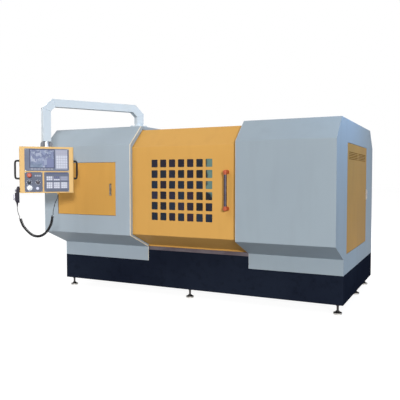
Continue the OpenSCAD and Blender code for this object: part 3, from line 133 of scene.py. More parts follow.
def skin(n, sides):
    """The quads between n + 1 rings of so many points each, ring after ring."""
    i, j = np.meshgrid(np.arange(n), np.arange(sides), indexing="ij")
    k = (j + 1) % sides
    corners = (i * sides + j, i * sides + k, (i + 1) * sides + k, (i + 1) * sides + j)
    return np.stack(corners, axis=-1).reshape(-1, 4)


def tube(route, outside, r, sides):
    """A closed tube: ring i is route_i + r (N cos t + B sin t), where T is the route's direction,
    N is the outside way made square to T, and B = T x N. Each end has a flat cap."""
    T = np.gradient(route, axis=0)
    T /= np.linalg.norm(T, axis=1)[:, None]
    N = outside - (outside * T).sum(1)[:, None] * T
    N /= np.linalg.norm(N, axis=1)[:, None]
    B = np.cross(T, N)
    t = np.linspace(0, 2 * math.pi, sides, endpoint=False)[None, :, None]
    r = np.broadcast_to(r, len(route))[:, None, None]
    rings = route[:, None] + r * (N[:, None] * np.cos(t) + B[:, None] * np.sin(t))
    n = len(route)
    caps = [list(range(sides))[::-1], list(range((n - 1) * sides, n * sides))]
    return rings.reshape(-1, 3), skin(n - 1, sides).tolist() + caps


def piece(name, points, faces, body, slot, material, smooth=True):
    """A new mesh object at the origin that rides on a body and takes the given finish. The slot is
    not used.
    """
    mesh = bpy.data.meshes.new(name)
    mesh.from_pydata(np.asarray(points).tolist(), [], faces)
    mesh.polygons.foreach_set("use_smooth", np.full(len(mesh.polygons), smooth))
    mesh.update()
    o = bpy.data.objects.new(name, mesh)
    bpy.context.scene.collection.objects.link(o)
    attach(o, body)
    mesh.materials.append(material)
    return o


def linear(code):
    """sRGB hex to linear RGBA: c / 12.92 up to 0.04045, else ((c + 0.055) / 1.055) ** 2.4."""
    c = np.array([int(code[i:i + 2], 16) / 255 for i in (1, 3, 5)])
    c = np.where(c <= 0.04045, c / 12.92, ((c + 0.055) / 1.055) ** 2.4)
    return (*(float(v) for v in c), 1.0)


def add(tree, kind, out=0, stops=None, **settings):
    """Adds one shader node and gives one of its outputs. Its operation may follow its kind after a
    point. A ramp holds its first and last stop beyond them. A setting is a property of the node or,
    by its name or number, an input: a socket is linked to it, and a hex colour is made linear."""
    kind, _, operation = kind.partition(".")
    n = tree.nodes.new("ShaderNode" + kind)
    if operation:
        n.operation = operation
    if stops:
        ramp = n.color_ramp.elements
        ramp[0].position, ramp[-1].position = stops[0][0], stops[-1][0]
        for place, _ in stops[1:-1]:
            ramp.new(place)
        for e, (_, value) in zip(ramp, stops):
            e.color = linear(value) if isinstance(value, str) else (value, value, value, 1)
    for key, value in settings.items():
        if hasattr(n, key):
            setattr(n, key, value)
            continue
        socket = n.inputs[int(key[1:])] if key[0] == "_" else n.inputs[key.replace("_", " ")]
        if isinstance(value, bpy.types.NodeSocket):
            tree.links.new(value, socket)
        else:
            socket.default_value = linear(value) if isinstance(value, str) else value
    return n.outputs[out]


def finish(name, specular=0.5, **uniform):
    """An empty material: its tree, its Principled shader and its Object coordinates. Values that
    are the same all over the surface are set on the shader's own sockets."""
    m = bpy.data.materials.new(name)
    m.use_nodes = True
    shader = m.node_tree.nodes["Principled BSDF"]
    shader.inputs["Specular IOR Level"].default_value = specular
    for key, value in uniform.items():
        shader.inputs[key.replace("_", " ")].default_value = value
    return m, m.node_tree, shader, add(m.node_tree, "TexCoord", out=3)


def connect(tree, shader, **surface):
    """Links what the nodes worked out to the shader's sockets."""
    for key, value in surface.items():
        tree.links.new(value, shader.inputs[key.replace("_", " ")])


def surface(tree, shader, colour, by, gloss, relief, strength, deep):
    """Links a colour, a roughness that one pattern takes from a first value to a second, and a
    relief by another pattern, to a depth in metres."""
    connect(tree, shader, Base_Color=colour,
            Roughness=add(tree, "ValToRGB", Fac=by, stops=[(0, gloss[0]), (1, gloss[1])]),
            Normal=add(tree, "Bump", Strength=strength, Distance=deep, Height=relief))


def every(tree, share, *tests):
    """The product of shares or tests, so 1 only where all of them hold."""
    for test in tests:
        share = add(tree, "Math.MULTIPLY", _0=share, _1=test)
    return share


def patch(tree, colour, other, *tests, blend="MIX"):
    """Another colour where every test holds, in its place or multiplied into it."""
    return add(tree, "Mix", out=2, data_type="RGBA", blend_type=blend, _0=every(tree, *tests),
               _6=colour, _7=other)


def within(tree, value, start, stop):
    """1 where a value lies between two limits, else 0."""
    return add(tree, "Math.COMPARE", _0=value, _1=(start + stop) / 2,
               _2=(stop - start) / 2)


def flatness(tree, radius):
    """1 on a flat face and less on an edge: the normal's dot product with a rounded one."""
    return add(tree, "VectorMath.DOT_PRODUCT", out=1,
               _0=add(tree, "Bevel", samples=4, Radius=radius), _1=add(tree, "NewGeometry", out=1))


def dress(material, *names):
    """Gives a finish to CAD nodes."""
    for name in names:
        nodes[name].data.materials.clear()
        nodes[name].data.materials.append(material)


def moulded(name, dark, light, rough, grain=1.2, worn=None, pointer=None, **uniform):
    """Moulded plastic or rubber, with a spark-eroded grain, its width in millimetres. The skin is
    even, slightly cloudy and rubbed glossy; an edge that hands touch can be rubbed lighter. A
    pointer is a white line up from a place along the pendant, from one height to another."""
    m, tree, shader, where = finish(name, **uniform)
    cloud = add(tree, "TexNoise", Vector=where, Scale=14.0, Detail=3.0)
    colour = add(tree, "ValToRGB", Fac=cloud, stops=[(0.3, dark), (0.7, light)])
    if worn:
        rub = add(tree, "ValToRGB", Fac=flatness(tree, 0.0012), stops=[(0.88, 0.5), (0.985, 0.0)])
        colour = patch(tree, colour, worn, rub)
    if pointer:
        u, low_z, high_z = pointer
        half_line = 0.0013
        place = add(tree, "VectorMath.DOT_PRODUCT", out=1, _0=where, _1=tuple(across))
        line = add(tree, "Math.COMPARE", _0=place, _2=half_line,
                   _1=float(pendant_at @ across[:2]) + u)
        height = add(tree, "SeparateXYZ", out=2, Vector=where)
        colour = patch(tree, colour, "#DADCE0", line, within(tree, height, low_z, high_z))
    fine = add(tree, "TexNoise", Vector=where, Scale=1000 / grain, Detail=2.0)
    surface(tree, shader, colour, cloud, (rough - 0.05, rough + 0.07), fine, 0.3, 0.0001)
    return m


jacket = moulded("polyurethane jacket", "#0F0F13", "#17171B", 0.42, specular=0.3)
dress(jacket, "cord_coil", "cord_tails")
cord_points, cord_sides = curly_route()
cord = piece("handwheel_cord", *tube(cord_points, cord_sides, cord_d / 2, 12), "pendant",
             "black_plastic", jacket)
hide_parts("cord_coil", "cord_tails")


# ---- Welded base. Plate 12 mm thick, welded into a box, ground and sprayed with blue-black
# machine enamel. It is nearly black, dull, a little mottled by coolant and scuffed by boots.
def enamel(name, base, rough, light, peel=4.0, depth=0.00025, chipped=None, oily=0.0, **uniform):
    """Sprayed enamel: slow drift between two tones, orange peel of a width in millimetres, oily
    spots, and primer or metal where its edges are chipped."""
    m, tree, shader, where = finish(name, **uniform)
    slow = add(tree, "TexNoise", Vector=where, Scale=1.7, Detail=4.0)
    colour = add(tree, "ValToRGB", Fac=slow, stops=[(0.35, base), (0.65, light)])
    if oily:
        spots = add(tree, "TexNoise", Vector=where, Scale=16.0, Detail=8.0, Roughness=0.7)
        share = add(tree, "ValToRGB", Fac=spots, stops=[(0.52, 0.0), (0.74, oily)])
        colour = patch(tree, colour, "#7C786E", share, blend="MULTIPLY")
    if chipped:
        edge = add(tree, "ValToRGB", Fac=flatness(tree, 0.0025), stops=[(0.85, 1.0), (0.98, 0.0)])
        flakes = add(tree, "TexNoise", Vector=where, Scale=70.0, Detail=5.0)
        chips = add(tree, "ValToRGB", Fac=flakes, stops=[(0.48, 0.0), (0.62, 0.6)])
        colour = patch(tree, colour, chipped, edge, chips)
    grain = add(tree, "TexNoise", Vector=where, Scale=1000 / peel, Detail=2.0)
    surface(tree, shader, colour, slow, (rough - 0.1, rough + 0.12), grain, 0.3, depth)
    return m, tree, shader, where


dress(enamel("blue-black machine enamel", "#181D2A", 0.6, light="#1E2431", oily=0.4,
             chipped="#272C37", specular=0.0)[0], "base_frame")


# ---- Levelling feet. Turned steel pads on threaded studs, chemically blackened, each locked under
# the base by a hexagon nut. Their lower rims are painted pale as a highlight.
rim_low, rim_high = 0.010, 0.016          # the height over which the bright rim ends
m, tree, shader, where = finish("blackened steel with painted rim highlights", Metallic=1.0)
height = add(tree, "SeparateXYZ", out=2, Vector=where)
# painted highlight: pale at the pad's lower rim, fading into the blackened tone above
rim_highlight = add(tree, "ValToRGB", Fac=add(tree, "MapRange", Value=height, _1=rim_low, _2=rim_high),
          stops=[(0, "#C2BFBA"), (1, "#454343")])
smudge = add(tree, "TexNoise", Vector=where, Scale=90.0, Detail=4.0)
share = add(tree, "ValToRGB", Fac=smudge, stops=[(0.4, 0.0), (0.7, 0.6)])
surface(tree, shader, patch(tree, rim_highlight, "#6A6560", share, blend="MULTIPLY"), smudge, (0.3, 0.5),
        smudge, 0.2, 0.0001)
dress(m, "levelling_feet")


# ---- Housings. Folded steel sheet, 2 to 3 mm thick, powder coated in a light blue-grey. The coat
# is satin with a fine pebble. Its edges beside the door carry a painted highlight: a pale strip
# where light catches the flanges.
# the blue-grey and its drift tone, then the pale cream of the painted edge highlight
grey, grey_low, edge_highlight = "#A3AFB8", "#9DA9B3", "#E3DCCB"
front_y, brow_z, brow_way = -0.6007, 1.5, (0.0, -0.698, 0.716)
chin_z, chin_way = 0.630, (0.0, -0.402, -0.915)
flange_x, flange_t, edge_w = (-0.443, 0.640), 0.003, 0.009


# Mask for the painted highlight on the door-side edges.
def lit_edge_strip(tree, where):
    """1 on the outermost strip of the two flanges beside the door. The depth below the folded
    front is the least of the depths below its plane, the brow's and the chin's."""
    outside = add(tree, "Math.MULTIPLY_ADD", _1=-1.0, _2=front_y,
                  _0=add(tree, "SeparateXYZ", out=1, Vector=where))
    for way, z in ((brow_way, brow_z), (chin_way, chin_z)):
        plane = add(tree, "Math.SUBTRACT", _1=way[1] * front_y + way[2] * z, _0=add(
            tree, "VectorMath.DOT_PRODUCT", out=1, _0=where, _1=way))
        outside = add(tree, "Math.MAXIMUM", _0=outside, _1=plane)
    strip = add(tree, "Math.GREATER_THAN", _0=outside, _1=-edge_w)
    x = add(tree, "SeparateXYZ", out=0, Vector=where)
    sides = [add(tree, "Math.COMPARE", _0=x, _1=start + flange_t / 2, _2=flange_t)
             for start in flange_x]
    return add(tree, "Math.MULTIPLY", _0=strip, _1=add(
        tree, "Math.MAXIMUM", _0=sides[0], _1=sides[1]))


def powder(name, base, drift, grain=3.5, depth=0.00018, rough=0.5, grime=0.3, cut=None, **uniform):
    """Powder coat: slow drift between two close tones, a pebble of a width in millimetres, grime
    that is washed downwards, a painted highlight on the flanges' edges beside the door, and dull
    dust on what faces up."""
    m, tree, shader, where = finish(name, **uniform)
    slow = add(tree, "TexNoise", Vector=where, Scale=1.1, Detail=3.0)
    colour = add(tree, "ValToRGB", Fac=slow, stops=[(0.3, drift), (0.7, base)])
    streak = add(tree, "TexNoise", Scale=9.0, Detail=5.0,
                 Vector=add(tree, "VectorMath.MULTIPLY", _0=where, _1=(1, 1, 0.16)))
    share = add(tree, "ValToRGB", Fac=streak, stops=[(0.5, 0.0), (0.8, grime)])
    colour = patch(tree, colour, "#D3D1CA", share, blend="MULTIPLY")
    if cut:
        # painted highlight on the flanges' edges beside the door
        colour = patch(tree, colour, cut, lit_edge_strip(tree, where))
    pebble = add(tree, "TexNoise", Vector=where, Scale=1000 / grain, Detail=1.0)
    up = add(tree, "SeparateXYZ", out=2, Vector=add(tree, "NewGeometry", out=1))
    dust = add(tree, "MapRange", Value=up, _1=0.75, _2=0.95)
    gloss = add(tree, "ValToRGB", Fac=slow, stops=[(0, rough - 0.04), (1, rough + 0.06)])
    connect(tree, shader, Base_Color=colour,
            Roughness=add(tree, "Mix", data_type="FLOAT", _0=dust, _2=gloss, _3=0.95),
            Normal=add(tree, "Bump", Strength=0.35, Distance=depth, Height=pebble))
    return m, tree, shader, where


housing = powder("blue-grey powder coat", grey, grey_low, grime=0.12, cut=edge_highlight,
                 specular=0.14)[0]
dress(housing, "left_front_skin", "left_end_panel", "left_partition", "roof_panel", "door_rail")
# The right front skin is painted a darker grey as shade, and its door-side edge a paler grey as a
# painted highlight.
dress(powder("blue-grey powder coat, painted darker as shade", "#99A5AD", "#94A0A9", grime=0.12,
             cut="#AEB4BB", specular=0.14)[0], "right_front_skin")
# The end panel is painted a darker, bluer grey as the shade on the machine's end, with stronger
# grime streaks.
dress(powder("blue-grey powder coat, end panel painted darker as shade", "#8797A4", "#82919E", grime=0.25,
             specular=0.06)[0], "right_end_panel")


# ---- Back panels. Three flat sheets in the same coat, held along their edges by rows of flush
# cross-head screws, a hand's length apart. Each screw shows as a bright disc in a dark ring.
def distance(tree, a, b):
    """The square root of two offsets' squares added."""
    return add(tree, "Math.SQRT", _0=add(
        tree, "Math.MULTIPLY_ADD", _0=a, _1=a,
        _2=add(tree, "Math.MULTIPLY", _0=b, _1=b)))


def rows_of_screws(tree, along, across, start, pitch, lines, r):
    """1 inside the heads: along one axis they stand every pitch from a start, and across it on
    the given lines."""
    turn = add(tree, "Math.MULTIPLY_ADD", _0=along, _1=1 / pitch, _2=-start / pitch)
    off = add(tree, "Math.MULTIPLY", _1=pitch, _0=add(
        tree, "Math.SUBTRACT", _0=turn,
        _1=add(tree, "Math.ROUND", _0=turn)))
    heads = None
    for line in lines:
        side = add(tree, "Math.SUBTRACT", _0=across, _1=line)
        inside = add(tree, "Math.LESS_THAN", _0=distance(tree, off, side), _1=r)
        heads = inside if heads is None else add(
            tree, "Math.MAXIMUM", _0=heads, _1=inside)
    return heads


screw_pitch, start_x, start_z = 0.1768, -1.47, 0.372
rows_z = (0.372, 1.433)
rows_x = (-1.474, -0.468, -0.416, 0.616, 0.668, 1.474)
m, tree, shader, where = powder("blue-grey powder coat with screws", grey, grey_low, grime=0.2,
                                specular=0.14)
x, y, z = (add(tree, "SeparateXYZ", out=k, Vector=where) for k in range(3))
colour = shader.inputs["Base Color"].links[0].from_socket
for r, tone in ((0.0075, "#4A5056"), (0.006, "#C3C7CC")):
    for found in (rows_of_screws(tree, x, z, start_x, screw_pitch, rows_z, r),
                  rows_of_screws(tree, z, x, start_z, screw_pitch, rows_x, r)):
        colour = patch(tree, colour, tone, found)
connect(tree, shader, Base_Color=colour)
dress(m, "back_panels")


# ---- Filter mats. A pleated mat of grey polyester fleece, 3 mm thick, clipped behind each row of
# louvres. It is dusty, and it keeps the light out of the slots. In the housings it is near-black,
# painted as the shade inside the slots.
def from_machine(points):
    """Millimetres from the base's front left corner to the row frame's metres."""
    return (np.asarray(points, float) - (1500.0, 270.6898, 0.0)) / 1000


def pleated(low, high, thin, pitch=24.0, deep=6.0, t=3.0):
    """A zigzag between two corners: along the mat the depth goes 0, deep, 0, ... every half pitch,
    and the far face is t behind. The section is carried up from the lower z to the higher."""
    low, high = np.array(low, float), np.array(high, float)
    wide = 1 - thin
    n = int(round((high[wide] - low[wide]) / pitch)) * 2
    run = np.linspace(low[wide], high[wide], n + 1)
    depth = low[thin] + deep * (np.arange(n + 1) % 2)
    corners = np.zeros((n + 1, 4, 3))
    corners[..., wide] = run[:, None]
    corners[..., thin] = depth[:, None] + np.array([0, t, t, 0])
    corners[..., 2] = np.array([low[2], low[2], high[2], high[2]])
    faces = skin(n, 4).tolist() + [[3, 2, 1, 0], [4 * n, 4 * n + 1, 4 * n + 2, 4 * n + 3]]
    if thin == 0:
        faces = [f[::-1] for f in faces]
    return from_machine(corners.reshape(-1, 3)), faces


# near-black: painted shade behind the louvres
fleece = moulded("near-black fleece, painted slot shade", "#232527", "#2E3133", 0.9, grain=2.6,
                 specular=0.1)
dusty_fleece = moulded("ochre polyester fleece", "#86642E", "#937037", 0.9, grain=2.6,
                       specular=0.1)
for name, near, far, thin, body, cloth in (
        ("left_back", (308, 1585, 1200), (748, 1585, 1382), 1, "machine", fleece),
        ("right_back", (2352, 1585, 1200), (2792, 1585, 1382), 1, "machine", fleece),
        ("left_end", (5, 904, 425), (5, 1256, 668), 0, "machine", fleece),
        ("end_door", (2985, 190, 1340), (2985, 1118, 1430), 0, "end_door", dusty_fleece)):
    piece("filter_" + name, *pleated(near, far, thin), body, "black_plastic", cloth, smooth=False)


# ---- Sill under the door. Folded stainless sheet that the door's rollers have worn. It is dull,
# dark and mauve-grey, mottled, with fine scratches along it.
m, tree, shader, where = finish("dark mauve stainless sill", Metallic=0.6)
scratch = add(tree, "TexNoise", Scale=60.0, Detail=5.0,
              Vector=add(tree, "VectorMath.MULTIPLY", _0=where, _1=(0.1, 1, 4)))
mottle = add(tree, "TexNoise", Vector=where, Scale=5.0, Detail=5.0)
tone = add(tree, "ValToRGB", Fac=mottle, stops=[(0.35, "#564B52"), (0.7, "#6E676C")])
share = add(tree, "ValToRGB", Fac=scratch, stops=[(0.5, 0.0), (0.65, 0.5)])
surface(tree, shader, patch(tree, tone, "#8A868A", share, blend="MULTIPLY"), mottle, (0.45, 0.6),
        scratch, 0.2, 0.0002)
dress(m, "door_sill")


# ---- Sliding front door. Folded steel sheet, 2.5 mm thick, with 42 windows cut by laser. It is
# powder coated in a warm yellow, satin, with the same pebble as the housings.
yellow, yellow_low = "#CF9F55", "#CA994F"
dress(powder("warm yellow powder coat", yellow, yellow_low, specular=0.2,
             grime=0.15)[0], "front_door")


# ---- Access doors. Pressed steel pans on pin hinges. They are sprayed in a duller ochre than the
# front door, with grime streaks. The end one is painted a darker brown ochre as the shade on the
# machine's end.
ochre, ochre_low = "#CE9D52", "#C8974C"
dress(powder("ochre powder coat", ochre, ochre_low, specular=0.12, grime=0.18)[0],
      "left_access_door", "access_hinges")
# painted shade: the end door's coat is darker and browner than the left one's
dress(powder("ochre powder coat, painted darker as shade", "#A67D38", "#906C2C", specular=0.06,
             grime=0.3)[0], "end_access_door")


# ---- Window pane. Smoked polycarbonate, 8 mm thick, screwed behind the door. It is dark, with a
# faint gloss: it takes about two thirds of the light, and cutting oil has left a slight film. Each
# window carries a painted reflection in a dark tone of its own, the film a paler painted sheen, and
# the right windows' upper rows a painted teal view of the lit castings behind.
window_x, window_z, pitch_x, pitch_z = -0.228, 0.786, 0.094, 0.099
bar_x, bar_z = 0.014, 0.013               # half a bar between two windows
m, tree, shader, where = finish("smoked polycarbonate with painted reflections", Roughness=0.25, specular=0.35)
at_x = add(tree, "SeparateXYZ", out=0, Vector=where)
at_z = add(tree, "SeparateXYZ", out=2, Vector=where)
film = add(tree, "TexNoise", Vector=where, Scale=7.0, Detail=4.0)
# painted reflections: one dark tone per window, picked from violet, navy and teal
reflection_cell = add(tree, "VectorMath.MULTIPLY_ADD", _0=where,
           _1=(1 / pitch_x, 0, 1 / pitch_z),
           _2=(-(window_x - bar_x) / pitch_x, 0, -(window_z - bar_z) / pitch_z))
reflection_cell = add(tree, "TexWhiteNoise", Vector=add(tree, "VectorMath.FLOOR", _0=reflection_cell))
tone = add(tree, "ValToRGB", Fac=reflection_cell, stops=[
    (0, "#351F2F"), (0.25, "#12172A"), (0.5, "#162A40"), (0.75, "#0A0E14"), (1, "#302B42")])
# the oil film, painted paler as a sheen
oil_and_sheen = add(tree, "ValToRGB", Fac=film, stops=[(0.45, 0.0), (0.75, 0.35)])
tone = patch(tree, tone, "#31374A", oil_and_sheen)
# painted teal light from the lit grey-green castings behind the right windows' upper rows
painted_castings_view = add(tree, "TexNoise", Vector=where, Scale=6.5, Detail=2.0)
for value, start, stop, least, most in ((at_x, 0.22, 0.37, -0.35, 0.12),
                                        (at_z, 0.95, 1.10, -0.25, 0.03)):
    painted_castings_view = add(tree, "Math.ADD", _0=painted_castings_view, _1=add(
        tree, "MapRange", Value=value, _1=start, _2=stop, _3=least, _4=most))
painted_castings_view = add(tree, "ValToRGB", Fac=painted_castings_view, stops=[(0.50, 0.0), (0.58, 0.85), (1, 0.95)])
connect(tree, shader, Base_Color=patch(tree, tone, "#68887F", painted_castings_view),
        Roughness=add(tree, "ValToRGB", Fac=film, stops=[(0, 0.16), (1, 0.34)]))
through = add(tree, "BsdfTransparent", Color="#5E6672")
share = add(tree, "ValToRGB", Fac=film, stops=[(0, 0.6), (1, 0.72)])
share = add(tree, "Math.MAXIMUM", _0=share, _1=painted_castings_view)
both = add(tree, "MixShader", _0=share, _1=through, _2=shader.outputs[0])
tree.links.new(both, tree.nodes["Material Output"].inputs[0])
dress(m, "door_pane")


# ---- Door handle. A turned rod between two plastic stand-offs. The rod has a dark violet-grey
# anodised skin, and the stand-offs are orange-red.
m, tree, shader, where = finish("dark anodised rod", Metallic=0.5)
rub = add(tree, "TexNoise", Vector=where, Scale=30.0, Detail=5.0)
ring = add(tree, "TexNoise", Scale=900.0, Detail=1.0,
           Vector=add(tree, "VectorMath.MULTIPLY", _0=where, _1=(0.1, 0.1, 1)))
tone = add(tree, "ValToRGB", Fac=rub, stops=[(0, "#322D38"), (0.4, "#393441"), (0.7, "#4A4452")])
surface(tree, shader, tone, rub, (0.3, 0.45), ring, 0.15, 0.0001)
dress(m, "door_handle")
dress(moulded("orange-red polyamide", "#A94A24", "#BA5731", 0.45, worn="#C97850"), "handle_mounts")


# ---- Latches. Zinc die-cast levers, chromium plated, bright with dull hollows where the polish
# has not reached, and small scratches round the part that fingers pull.
def bright_metal(name, high, shade, rough, grain=0.8, depth=0.00006, stretch=(1, 1, 1), **uniform):
    """Bare or plated metal: a scratch pattern of a width in millimetres, stretched along the way
    that it was ground, between its high tone and its shade."""
    m, tree, shader, where = finish(name, Metallic=1.0, **uniform)
    lines = add(tree, "TexNoise", Scale=1000 / grain, Detail=3.0,
                Vector=add(tree, "VectorMath.MULTIPLY", _0=where, _1=stretch))
    cloud = add(tree, "TexNoise", Vector=where, Scale=22.0, Detail=4.0)
    tone = add(tree, "ValToRGB", Fac=cloud, stops=[(0.35, shade), (0.62, high)])
    share = add(tree, "ValToRGB", Fac=lines, stops=[(0.45, 0.0), (0.75, 0.35)])
    surface(tree, shader, patch(tree, tone, "#8E8E90", share, blend="MULTIPLY"), lines,
            (rough - 0.06, rough + 0.08), lines, 0.2, depth)
    return m, tree, shader, where


dress(bright_metal("dull chromium plate", "#A6A39E", "#6F6A66", 0.34, grain=1.5)[0], "left_latch")
dress(bright_metal("bright chromium plate", "#E3E5E9", "#BDC0C8", 0.28, grain=1.5)[0], "end_latch")


# ---- Pendant's arm. Square steel tube, 70 mm, mitred and welded, on a flanged post that is bolted
# to the roof. It is powder coated paler than the housings.
arm_coat = powder("pale grey powder coat", "#CBD6DE", "#C5D0D9", specular=0.3,
                  grime=0.15)[0]
dress(arm_coat, "pendant_arm", "arm_post")


# ---- Weld beads of the arm. One runs round each of the tube's four mitres and one round the
# post's foot. They are laid by hand, so they ripple, and they are coated with the arm.
half, top, cut, reach = 35.0, 1900.0, 85.0, 920.0    # in millimetres, as is all of at_arm
post_r, post_weld_z, post_bead = 0.0425, 1.6985, 0.0028
arm_way = np.array([math.cos(arm_turn), math.sin(arm_turn)])
arm_side = np.array([-math.sin(arm_turn), math.cos(arm_turn)])


def at_arm(d, side, z):
    """Millimetres out along the arm from its post, to one side of it, and up, in the row frame."""
    d, side, z = (np.asarray(q, float)[..., None] / 1000 for q in (d, side, z))
    return np.concatenate([post + d * arm_way + side * arm_side, z], axis=-1)


def bead(outer, inner, r=2.4, ripple=5.0, step=1.25, sunk=3.0):
    """A weld bead round a mitre of the square tube. Its route is the rectangle between the outer
    and the inner corner, at both sides, sunk below the tube's top; its radius swells as
    r (1 + 0.22 |sin|) every ripple."""
    corners = np.array([(*outer, half), (*inner, half), (*inner, -half), (*outer, -half),
                        (*outer, half)])
    run = np.concatenate([[0], np.cumsum(np.linalg.norm(np.diff(corners, axis=0), axis=1))])
    s = np.linspace(0, run[-1], int(run[-1] / step))
    d, z, side = (np.interp(s, run, corners[:, k]) for k in range(3))
    route = at_arm(d, side, np.minimum(z, top - sunk))
    swell = (r / 1000) * (1 + 0.22 * np.abs(np.sin(math.pi * s / ripple)))
    return tube(route, route - route.mean(0), swell, 8)


inner = 2 * half
skew = inner * (math.sqrt(2) - 1)
beads = [((-half, top - cut), (-half + inner, top - cut - skew)),
         ((-half + cut, top), (-half + cut + skew, top - inner)),
         ((reach + half - cut, top), (reach + half - cut - skew, top - inner)),
         ((reach + half, top - cut), (reach + half - inner, top - cut - skew))]
for k, (outer_corner, inner_corner) in enumerate(beads):
    piece(f"arm_weld_{k + 1}", *bead(outer_corner, inner_corner), "arm", "grey_paint", arm_coat)
t = np.linspace(0, 2 * math.pi, 161)
ring = np.stack([post[0] + post_r * np.cos(t), post[1] + post_r * np.sin(t),
                 np.full(161, post_weld_z)], axis=1)
swell = post_bead * (1 + 0.2 * np.abs(np.sin(24 * t)))
piece("post_weld", *tube(ring, ring - ring.mean(0), swell, 8), "machine", "grey_paint", arm_coat)


# ---- Swivel of the pendant. A turned steel hub between two dark enamelled lugs, on which the
# case turns. The hub is bright, with fine rings left by the tool.
def on_pendant(tree, where):
    """Three sockets: the place along the pendant's face, how far behind its axis, and height."""
    u, v = (add(tree, "Math.SUBTRACT", _1=float(pendant_at @ way[:2]), _0=add(
        tree, "VectorMath.DOT_PRODUCT", out=1, _0=where, _1=tuple(way)))
        for way in (across, inward))
    return u, v, add(tree, "SeparateXYZ", out=2, Vector=where)


hub_half = 0.015
m, tree, shader, where = enamel("dark lugs and turned hub", "#74777E", 0.5, light="#808389",
                                oily=0.4, specular=0.2)
hub = within(tree, on_pendant(tree, where)[0], -hub_half, hub_half)
paint = shader.inputs["Base Color"].links[0].from_socket
rings = add(tree, "TexNoise", Scale=420.0, Detail=2.0,
            Vector=add(tree, "VectorMath.MULTIPLY", _0=where, _1=(0.12, 0.12, 1)))
bright = add(tree, "ValToRGB", Fac=rings, stops=[(0, "#A9ACB3"), (0.5, "#BDC0C7"), (1, "#D0D3D9")])
connect(tree, shader, Metallic=every(tree, hub, 0.8), Base_Color=patch(tree, paint, bright, hub))
dress(m, "pendant_swivel")


# ---- Pendant's case. Folded sheet, 1.5 mm, powder coated in a pale straw yellow.
dress(powder("straw yellow powder coat", "#E1B977", "#DBB26F", specular=0.3,
             grime=0.15)[0], "pendant_box")


# ---- Handles of the pendant. Two bridge handles of black polyamide with rounded bars. Their feet
# are thicker, and they are screwed to the case's sides.
black_plastic = moulded("black polyamide", "#0E0E11", "#16161A", 0.5, worn="#25252A",
                        specular=0.25)
dress(black_plastic, "pendant_handles")
case_side, handle_v, handle_mid = 0.235, 0.020, 1.2565    # half the case's width, then their place
handle_r, handle_reach, handle_span = 0.0085, 0.0395, 0.080
foot_swell, foot_l, sunk = 0.003, 0.014, 0.002


def bridge(side):
    """A bridge handle on one side of the case. Its route is half a superellipse of power 7, u =
    reach cos^(2/7), z = middle + span sin^(2/7), and its radius swells over the feet's length."""
    a = np.linspace(-math.pi / 2, math.pi / 2, 400)
    bend = np.stack([handle_reach * np.abs(np.cos(a)) ** (2 / 7),
                     handle_mid + handle_span * np.sign(np.sin(a)) * np.abs(np.sin(a)) ** (2 / 7)],
                    axis=1)
    bend, s = along(bend, 0.002)
    swell = np.clip(1 - np.minimum(s, s[-1] - s) / foot_l, 0, 1)
    route = at_pendant(side * (case_side - sunk + bend[:, 0]), np.full(len(s), handle_v),
                       bend[:, 1])
    return tube(route, np.tile(inward, (len(s), 1)), handle_r + foot_swell * swell ** 2, 16)


(first, first_faces), (second, second_faces) = bridge(-1), bridge(1)
handles = piece("bridge_handles", np.vstack([first, second]),
                first_faces + [[k + len(first) for k in f] for f in second_faces],
                "pendant", "black_plastic", black_plastic)
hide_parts("pendant_handles")


# ---- Screws of the pendant. Zinc-plated button heads, 4 mm screws through the two front plates
# and 6 mm screws in the case's back. They are turned, slightly yellowed, with a hexagon socket.
def heads(points, way, r, height, sides=16, socket=0.0):
    """Screw heads at points in the row frame, facing one way. A head is a stack of rings (r, 0),
    (r, 0.45 h), (0.93 r, 0.8 h), (0.72 r, h), then the socket's rim and floor, each ring turned
    about the way; the socket's rim and floor are rings of the same sides, at the socket's share of
    r."""
    way = np.array(way, float) / np.linalg.norm(way)
    side = np.cross(way, (0, 0, 1) if abs(way[2]) < 0.9 else (1, 0, 0))
    side /= np.linalg.norm(side)
    up = np.cross(way, side)
    profile = np.array([(1, -0.1), (1, 0.45), (0.93, 0.8), (0.72, 1)] + (
        [(socket, 1), (socket, 0.45)] if socket else [])) * (r, height)
    t = np.linspace(0, 2 * math.pi, sides, endpoint=False)
    ring = np.cos(t)[:, None] * side + np.sin(t)[:, None] * up
    unit = profile[:, 0][:, None, None] * ring + profile[:, 1][:, None, None] * way
    n = len(profile)
    tips = np.stack([profile[0, 1] * way, profile[-1, 1] * way])
    unit = np.vstack([unit.reshape(-1, 3), tips])
    points = np.asarray(points, float).reshape(-1, 3)
    quads = skin(n - 1, sides)
    j = np.arange(sides)
    k = (j + 1) % sides
    last = (n - 1) * sides
    fans = np.vstack([np.stack([k, j, np.full(sides, n * sides)], axis=1),
                      np.stack([last + j, last + k, np.full(sides, n * sides + 1)], axis=1)])
    shift = (np.arange(len(points)) * len(unit))[:, None, None]
    faces = (quads + shift).reshape(-1, 4).tolist() + (fans + shift).reshape(-1, 3).tolist()
    return (points[:, None] + unit).reshape(-1, 3), faces


zinc = bright_metal("zinc-plated screws", "#C9C7BE", "#94928A", 0.34, grain=0.9)[0]
plates = [(-0.186, 0.186, 1.2505, 1.4395), (-0.187, -0.046, 1.063, 1.229),
          (-0.020, 0.187, 1.063, 1.229)]  # each plate's first and last column, then its rows
front = np.array([(u, -0.05, z) for left, right, bottom, high in plates
                  for z in (bottom, high) for u in (left, right)])
back = np.array([(u, 0.104, z) for z in (1.067, 1.443) for u in (-0.215, -0.072, 0.072, 0.215)])
for name, spots, way, r, height in (("plate_screws", front, -inward, 0.0032, 0.0014),
                                    ("case_screws", back, inward, 0.0055, 0.003)):
    piece(name, *heads(at_pendant(*spots.T), way, r, height, socket=0.4), "pendant", "steel",
          zinc, smooth=False)


